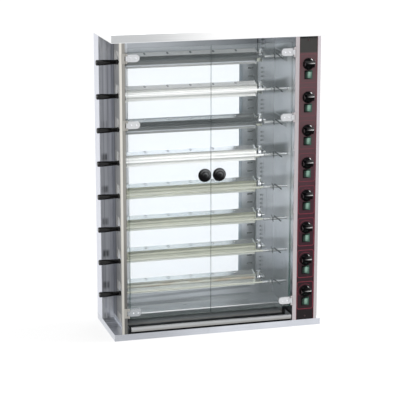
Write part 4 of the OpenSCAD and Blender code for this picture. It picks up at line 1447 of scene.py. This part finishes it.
class BROILER_OT_burners(bpy.types.Operator):
    """Burner bands and tubes, with unions at the right ends"""

    bl_idname = "broiler.burners"
    bl_label = "Burners"

    def execute(self, context):
        s = sizes()
        dress(band_steel("band_steel", False), "reflectors")
        dress(band_steel("burner_steel", True), "burner_tubes")
        p = Pattern("burner_union", {
            "Radius": s.nut_radius, "Width": s.nut_width, "Length": s.union_length,
        })
        radius = p.size("Radius")
        width = p.size("Width")
        half = p.size("Length") * 0.5
        sleeve = p.cylinder(32, radius * 0.9, p.size("Length"))
        left_nut = p.moved(p.cylinder(6, radius, width), p.xyz(z=0 - half))
        right_nut = p.moved(p.cylinder(6, radius, width), p.xyz(z=half), (0.0, 0.0, 0.4))
        upright = (0.0, math.pi / 2, 0.0)
        bolt = p.moved(p.cylinder(16, radius * 0.36, radius * 2.4), p.xyz(x=radius * -1.3), upright)
        head = p.moved(p.cylinder(6, radius * 0.72, width * 0.7), p.xyz(x=radius * -2.3), upright)
        p.close(p.on_points(p.joined(sleeve, left_nut, right_nut, bolt, head)))
        tube_low, tube_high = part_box("burner_tubes")
        y = (tube_low.y + tube_high.y) / 2
        drop = SPIT_Z[0] - (tube_high.z - (tube_high.y - tube_low.y) / 2)
        spots = [((UNION_X, y, z - drop), (1, 0, 0)) for z in SPIT_Z]
        p.grow("burner_unions", spots, union_steel(), "cabinet", "bright_steel")
        return {"FINISHED"}


class BROILER_OT_glazing(bpy.types.Operator):
    """Door panes, rear pane, clamps, hinges and clamp screws"""

    bl_idname = "broiler.glazing"
    bl_label = "Glass and clamps"

    def execute(self, context):
        c = colours()
        s = sizes()
        dress(pane("door_pane", c.glass, 0.035, 0.008), "left_glass", "right_glass")
        dress(pane("rear_pane", c.sky, 0.10, 0.0), "rear_glass")
        dress(clamp_steel(), "left_clamps", "right_clamps")
        dress(bracket_steel(), "hinge_brackets")
        p = Pattern("clamp_screw", {"Radius": s.clamp_screw, "Height": CLAMP_HEAD})
        radius = p.size("Radius")
        height = p.size("Height")
        head = p.cone(24, radius * 0.82, radius, height)
        socket = p.moved(p.cylinder(6, radius * 0.5, height), p.xyz(z=height * 0.9))
        p.close(p.on_points(p.cut(head, socket), CLAMP_SEED))
        screw = brushed("clamp_screw_steel", c.chrome, "X", 0.24, 0.2, 0.3)
        for side, sign in (("left", 1), ("right", -1)):
            spots = self.places(side, sign)
            p.grow(f"{side}_clamp_screws", spots, screw, f"{side}_door", "bright_steel")
        return {"FINISHED"}

    def places(self, side, sign):
        """Two screws on both faces of each of a door's three clamps."""
        low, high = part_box(f"{side}_clamps")
        glass_low, glass_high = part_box(f"{side}_glass")
        start = (low.x if sign > 0 else high.x) + sign * CLAMP_EDGE
        spots = []
        for z in (low.z + CLAMP_HALF, MID_CLAMP_Z, high.z - CLAMP_HALF):
            for along in CLAMP_HOLES:
                x = start + sign * along
                spots.append(((x, glass_low.y - CLAMP_PLATE, z), (0, -1, 0)))
                spots.append(((x, glass_high.y + CLAMP_PLATE, z), (0, 1, 0)))
        return spots


class BROILER_OT_spits(bpy.types.Operator):
    """Spit rods with their collars, sleeves and keys, and the black grips"""

    bl_idname = "broiler.spits"
    bl_label = "Spits and grips"

    def execute(self, context):
        c = colours()
        rod = rod_steel()
        sleeve = brushed("sleeve_steel", c.rod, "X", 0.26, 0.2, 0.4)
        key = brushed("key_steel", c.soot_and_shade, "X", 0.40, 0.3, 0.6)
        grip = black_moulding("grip_black", 0.13, 0.5, 0.30)
        for k in LEVELS:
            dress(rod, f"spit_{k}")
            dress(grip, f"grip_{k}")
            self.ring("spit_collar", k, COLLAR, COLLAR_X, rod)
            self.ring("spit_sleeve", k, SLEEVE, SLEEVE_X, sleeve)
            self.key(k, key)
        return {"FINISHED"}

    def ring(self, name, k, outline, x, material):
        """Turned ring on a spit's rod: the collar at the left wall or the sleeve at the drive."""
        bm = bmesh.new()
        closed = [(ROD_BORE, 0), *outline, (ROD_BORE, outline[-1][1]), (ROD_BORE, 0)]
        add_lathe(bm, closed, (x, SPIT_Y, SPIT_Z[k - 1]), (1, 0, 0), 32)
        bmesh.ops.remove_doubles(bm, verts=bm.verts, dist=1e-6)
        piece(f"{name}_{k}", bm, material, f"spit_{k}")

    def key(self, k, material):
        """Skewed key that the drive turns a spit by."""
        bm = bmesh.new()
        reach = KEY_WAY.length
        outline = [
            (0, 0), (0.0024, 0), (0.0034, 0.0012),
            (0.0034, reach - 0.0012), (0.0024, reach), (0, reach),
        ]
        start = Vector((*KEY_PLACE, SPIT_Z[k - 1])) - KEY_WAY / 2
        add_lathe(bm, outline, start, KEY_WAY, 20)
        piece(f"spit_key_{k}", bm, material, f"spit_{k}")


class BROILER_OT_pulls(bpy.types.Operator):
    """Round black pulls on the doors"""

    bl_idname = "broiler.pulls"
    bl_label = "Door pulls"

    def execute(self, context):
        black = pull_moulding()
        for side in ("left", "right"):
            name = f"{side}_pull"
            low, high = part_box(name)
            centre = middle(name)
            glass_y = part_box(f"{side}_glass")[0].y
            reach = glass_y - low.y
            back = glass_y - high.y
            r = (high.x - low.x) / 2
            bm = bmesh.new()
            add_lathe(bm, [
                (0, back), (0.009, back), (0.009, -0.006), (0.005, -0.006), (0.005, 0), (0.012, 0),
                (0.0115, 0.002), (0.010, 0.006), (0.0105, 0.0085), (r - 0.008, 0.0095),
                (r - 0.003, 0.0115), (r - 0.0006, 0.0145), (r, 0.018), (r - 0.0006, 0.0215),
                (r - 0.0025, 0.025), (r - 0.0055, 0.0275), (r - 0.0095, 0.0290), (r - 0.0110, 0.0286),
                (r - 0.0120, 0.0286), (r - 0.0132, 0.0293), (r - 0.020, reach - 0.0002), (0, reach),
            ], (centre.x, glass_y, centre.z), (0, -1, 0), 64)
            piece(f"{name}_turned", bm, black, f"{side}_door", (name,))
        return {"FINISHED"}


class BROILER_OT_controls(bpy.types.Operator):
    """Printed panel, gas knobs and rocker switches"""

    bl_idname = "broiler.controls"
    bl_label = "Controls"

    def execute(self, context):
        dress(panel_print(), "control_panel")
        dress(bezel_moulding(), "switch_bezels")
        lens = green_lens()
        black = black_moulding("knob_black", 0.09, 0.3, 0.03, 1.0, 0.8)
        for k in LEVELS:
            dress(lens, f"rocker_{k}")
            self.knob(k, black)
        return {"FINISHED"}

    def knob(self, k, material):
        """Skirted knob with a wedge across it to hold."""
        low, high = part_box(f"knob_{k}")
        x = (low.x + high.x) / 2
        z = (low.z + high.z) / 2
        r = (high.x - low.x) / 2
        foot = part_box("control_panel")[0].y - KNOB_GAP
        shaft = foot - high.y
        bm = bmesh.new()
        add_lathe(bm, [
            (0, shaft), (0.004, shaft), (0.004, 0), (r, 0), (r, 0.0040), (r - 0.0003, 0.0050),
            (r - 0.0010, 0.0058), (r - 0.0055, 0.0103), (r - 0.0063, 0.0109), (r - 0.0075, 0.0113),
            (r - 0.0125, 0.0130), (r - 0.0180, 0.0140), (0, 0.0146),
        ], (x, foot, z), (0, -1, 0), 64)
        half = r - 0.002
        bar = add_box(bm, (x - half, low.y, z - KNOB_BAR), (x + half, foot - 0.013, z + KNOB_BAR))
        for v in bar:
            if v.co.y < low.y + 0.001:
                v.co.z = z + (v.co.z - z) * WEDGE_EDGE
                v.co.x = x + (v.co.x - x) * WEDGE_LENGTH
        edges = list({e for v in bar for e in v.link_edges})
        bmesh.ops.bevel(bm, geom=edges, offset=0.0016, segments=4, profile=0.5, affect="EDGES")
        piece(f"knob_turned_{k}", bm, material, f"knob_{k}", (f"knob_{k}",))


class BROILER_OT_gas_line(bpy.types.Operator):
    """Valves, manifold with its threaded inlet, feed tubes and gear motors"""

    bl_idname = "broiler.gas_line"
    bl_label = "Gas line and motors"

    def execute(self, context):
        c = colours()
        s = sizes()
        brass = cast_brass()
        dress(brass, "gas_valves", "gas_manifold")
        dress(brushed("tube_steel", c.rod, "X", 0.28, 0.2, 0.4), "feed_tubes")
        dress(motor_paint(), "gearmotors")
        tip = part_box("gas_manifold")[1].y
        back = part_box("back_panel")[1].y
        length = tip - back - 2 * INLET_MARGIN
        p = Pattern("inlet_thread", {"Pitch": s.thread, "Radius": INLET_RADIUS, "Length": length})
        radius = p.size("Radius")
        height = p.size("Length")
        spiral = p.node(
            "GeometryNodeCurveSpiral", None,
            {"Resolution": 28, "Rotations": height / p.size("Pitch"),
             "Start Radius": radius, "End Radius": radius, "Height": height},
        )
        p.close(p.on_points(p.tube(spiral, 4, p.size("Pitch") * 0.22, True)))
        half_out = (tip + back) / 2
        pipe = [v.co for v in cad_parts["gas_manifold"].data.vertices if v.co.y > half_out]
        x = (min(a.x for a in pipe) + max(a.x for a in pipe)) / 2
        z = (min(a.z for a in pipe) + max(a.z for a in pipe)) / 2
        spots = [((x, back + INLET_MARGIN, z), (0, 1, 0))]
        p.grow("inlet_thread", spots, brass, "cabinet", "valve_brass")
        return {"FINISHED"}


class BROILER_OT_fixings(bpy.types.Operator):
    """Cross-head screws, louvre hoods and the flue grille"""

    bl_idname = "broiler.fixings"
    bl_label = "Screws, hoods and grille"

    def execute(self, context):
        self.screws()
        self.hoods()
        self.grille()
        return {"FINISHED"}

    def screws(self):
        """Pan heads on the back panel and the control panel."""
        s = sizes()
        p = Pattern("cross_head", {"Radius": s.screw_radius, "Height": s.screw_height})
        radius = p.size("Radius")
        height = p.size("Height")
        head = p.cone(24, radius * 0.72, radius, height)
        bar = p.cube(radius * 1.1, radius * 0.24, height)
        cross = p.cube(radius * 0.24, radius * 1.1, height)
        lift = p.xyz(z=height * 1.35)
        slotted = p.cut(head, p.moved(bar, lift), p.moved(cross, lift))
        p.close(p.on_points(slotted, SCREW_SEED))
        low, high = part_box("screws")
        wall_low, wall_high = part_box("back_panel")
        gap = (wall_high.z - wall_low.z - 2 * SCREW_INSET) / (SCREW_ROWS - 1)
        spots = []
        for x in (low.x + s.screw_radius, high.x - s.screw_radius):
            for i in range(SCREW_ROWS):
                spots.append(((x, wall_high.y, wall_low.z + SCREW_INSET + i * gap), (0, 1, 0)))
        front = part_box("control_panel")[0].y
        for z in (low.z + s.screw_radius, high.z - s.screw_radius):
            spots.append(((KNOB_X, front, z), (0, -1, 0)))
        p.grow("fixing_screws", spots, screw_steel(), "cabinet", "bright_steel", ("screws",))

    def hoods(self):
        """Pressed hoods over the louvre slots of the back panel."""
        p = Pattern("louvre_hood", {
            "Depth": sizes().hood_depth, "Length": HOOD_LENGTH, "Height": HOOD_HEIGHT,
        })
        grid = p.grid(2.0, 1.0, 17, 7)
        spot = p.node("GeometryNodeInputPosition")
        u = p.node("ShaderNodeSeparateXYZ", None, {0: spot}, out="X")
        v = p.node("ShaderNodeSeparateXYZ", None, {0: spot}, out="Y") + 0.5
        bulge = (1 - u * u * u * u) * (v * (2 - v))
        shaped = p.node(
            "GeometryNodeSetPosition", None,
            {"Geometry": grid, "Position": p.xyz(
                u * p.size("Length") * 0.5, (0.5 - v) * p.size("Height"), bulge * p.size("Depth"),
            )},
        )
        skin = p.node(
            "GeometryNodeExtrudeMesh", {"mode": "FACES"},
            {"Mesh": shaped, "Offset Scale": -0.001, "Individual": False},
        )
        inside = p.node("GeometryNodeFlipFaces", None, {"Mesh": shaped})
        p.close(p.on_points(p.joined(skin, inside)))
        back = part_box("back_panel")[1].y
        spots = []
        for upper, lower in zip(SPIT_Z, SPIT_Z[1:]):
            centre = (upper + lower + BAND_UP - BAND_DOWN) / 2 - LOUVRE_LOW
            for sign in (-1, 1):
                spots.append(((LOUVRE_X, back, centre + sign * LOUVRE_GAP / 2), (0, 1, 0)))
        p.grow("louvre_hoods", spots, hood_steel(), "cabinet", "sheet_steel")

    def grille(self):
        """Wire grille behind the flue slots in the back of the cap."""
        p = Pattern("flue_grille", {"Wire": sizes().wire})
        grid = p.grid(*GRILLE_SIZE, *GRILLE_WIRES)
        lines = p.node("GeometryNodeMeshToCurve", None, {"Mesh": grid})
        p.close(p.on_points(p.tube(lines, 6, p.size("Wire"), False)))
        seam = (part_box("left_glass")[1].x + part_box("right_glass")[0].x) / 2
        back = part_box("cap")[1].y - GRILLE_INSET
        steel = brushed("grille_steel", colours().back, "X", 0.40, 0.2, 0.3)
        spots = [((seam, back, middle("cap").z), (0, 1, 0))]
        p.grow("flue_grille", spots, steel, "cabinet", "sheet_steel")


OPERATORS = (
    BROILER_OT_stage,
    BROILER_OT_cabinet,
    BROILER_OT_floor_parts,
    BROILER_OT_burners,
    BROILER_OT_glazing,
    BROILER_OT_spits,
    BROILER_OT_pulls,
    BROILER_OT_controls,
    BROILER_OT_gas_line,
    BROILER_OT_fixings,
)


class BROILER_PT_finish(bpy.types.Panel):
    """Sidebar panel with one button for each group of pieces"""

    bl_idname = "BROILER_PT_finish"
    bl_label = "Broiler finish"
    bl_space_type = "VIEW_3D"
    bl_region_type = "UI"
    bl_category = "Broiler"

    def draw(self, context):
        for made in OPERATORS:
            self.layout.operator(made.bl_idname)
        for group in GROUPS:
            settings = getattr(context.scene, group)
            box = self.layout.box()
            for key in settings.__annotations__:
                box.prop(settings, key)


GROUPS = {
    "broiler_colours": BroilerColours,
    "broiler_sizes": BroilerSizes,
    "broiler_view": BroilerView,
}


def register():
    for name, group in GROUPS.items():
        bpy.utils.register_class(group)
        setattr(bpy.types.Scene, name, bpy.props.PointerProperty(type=group))
    for made in OPERATORS:
        bpy.utils.register_class(made)
    bpy.utils.register_class(BROILER_PT_finish)


def unregister():
    bpy.utils.unregister_class(BROILER_PT_finish)
    for made in reversed(OPERATORS):
        bpy.utils.unregister_class(made)
    for name, group in GROUPS.items():
        delattr(bpy.types.Scene, name)
        bpy.utils.unregister_class(group)


def main():
    register()
    bpy.ops.broiler.stage()
    bpy.ops.broiler.cabinet()
    bpy.ops.broiler.floor_parts()
    bpy.ops.broiler.burners()
    bpy.ops.broiler.glazing()
    bpy.ops.broiler.spits()
    bpy.ops.broiler.pulls()
    bpy.ops.broiler.controls()
    bpy.ops.broiler.gas_line()
    bpy.ops.broiler.fixings()


if __name__ == "__main__":
    main()
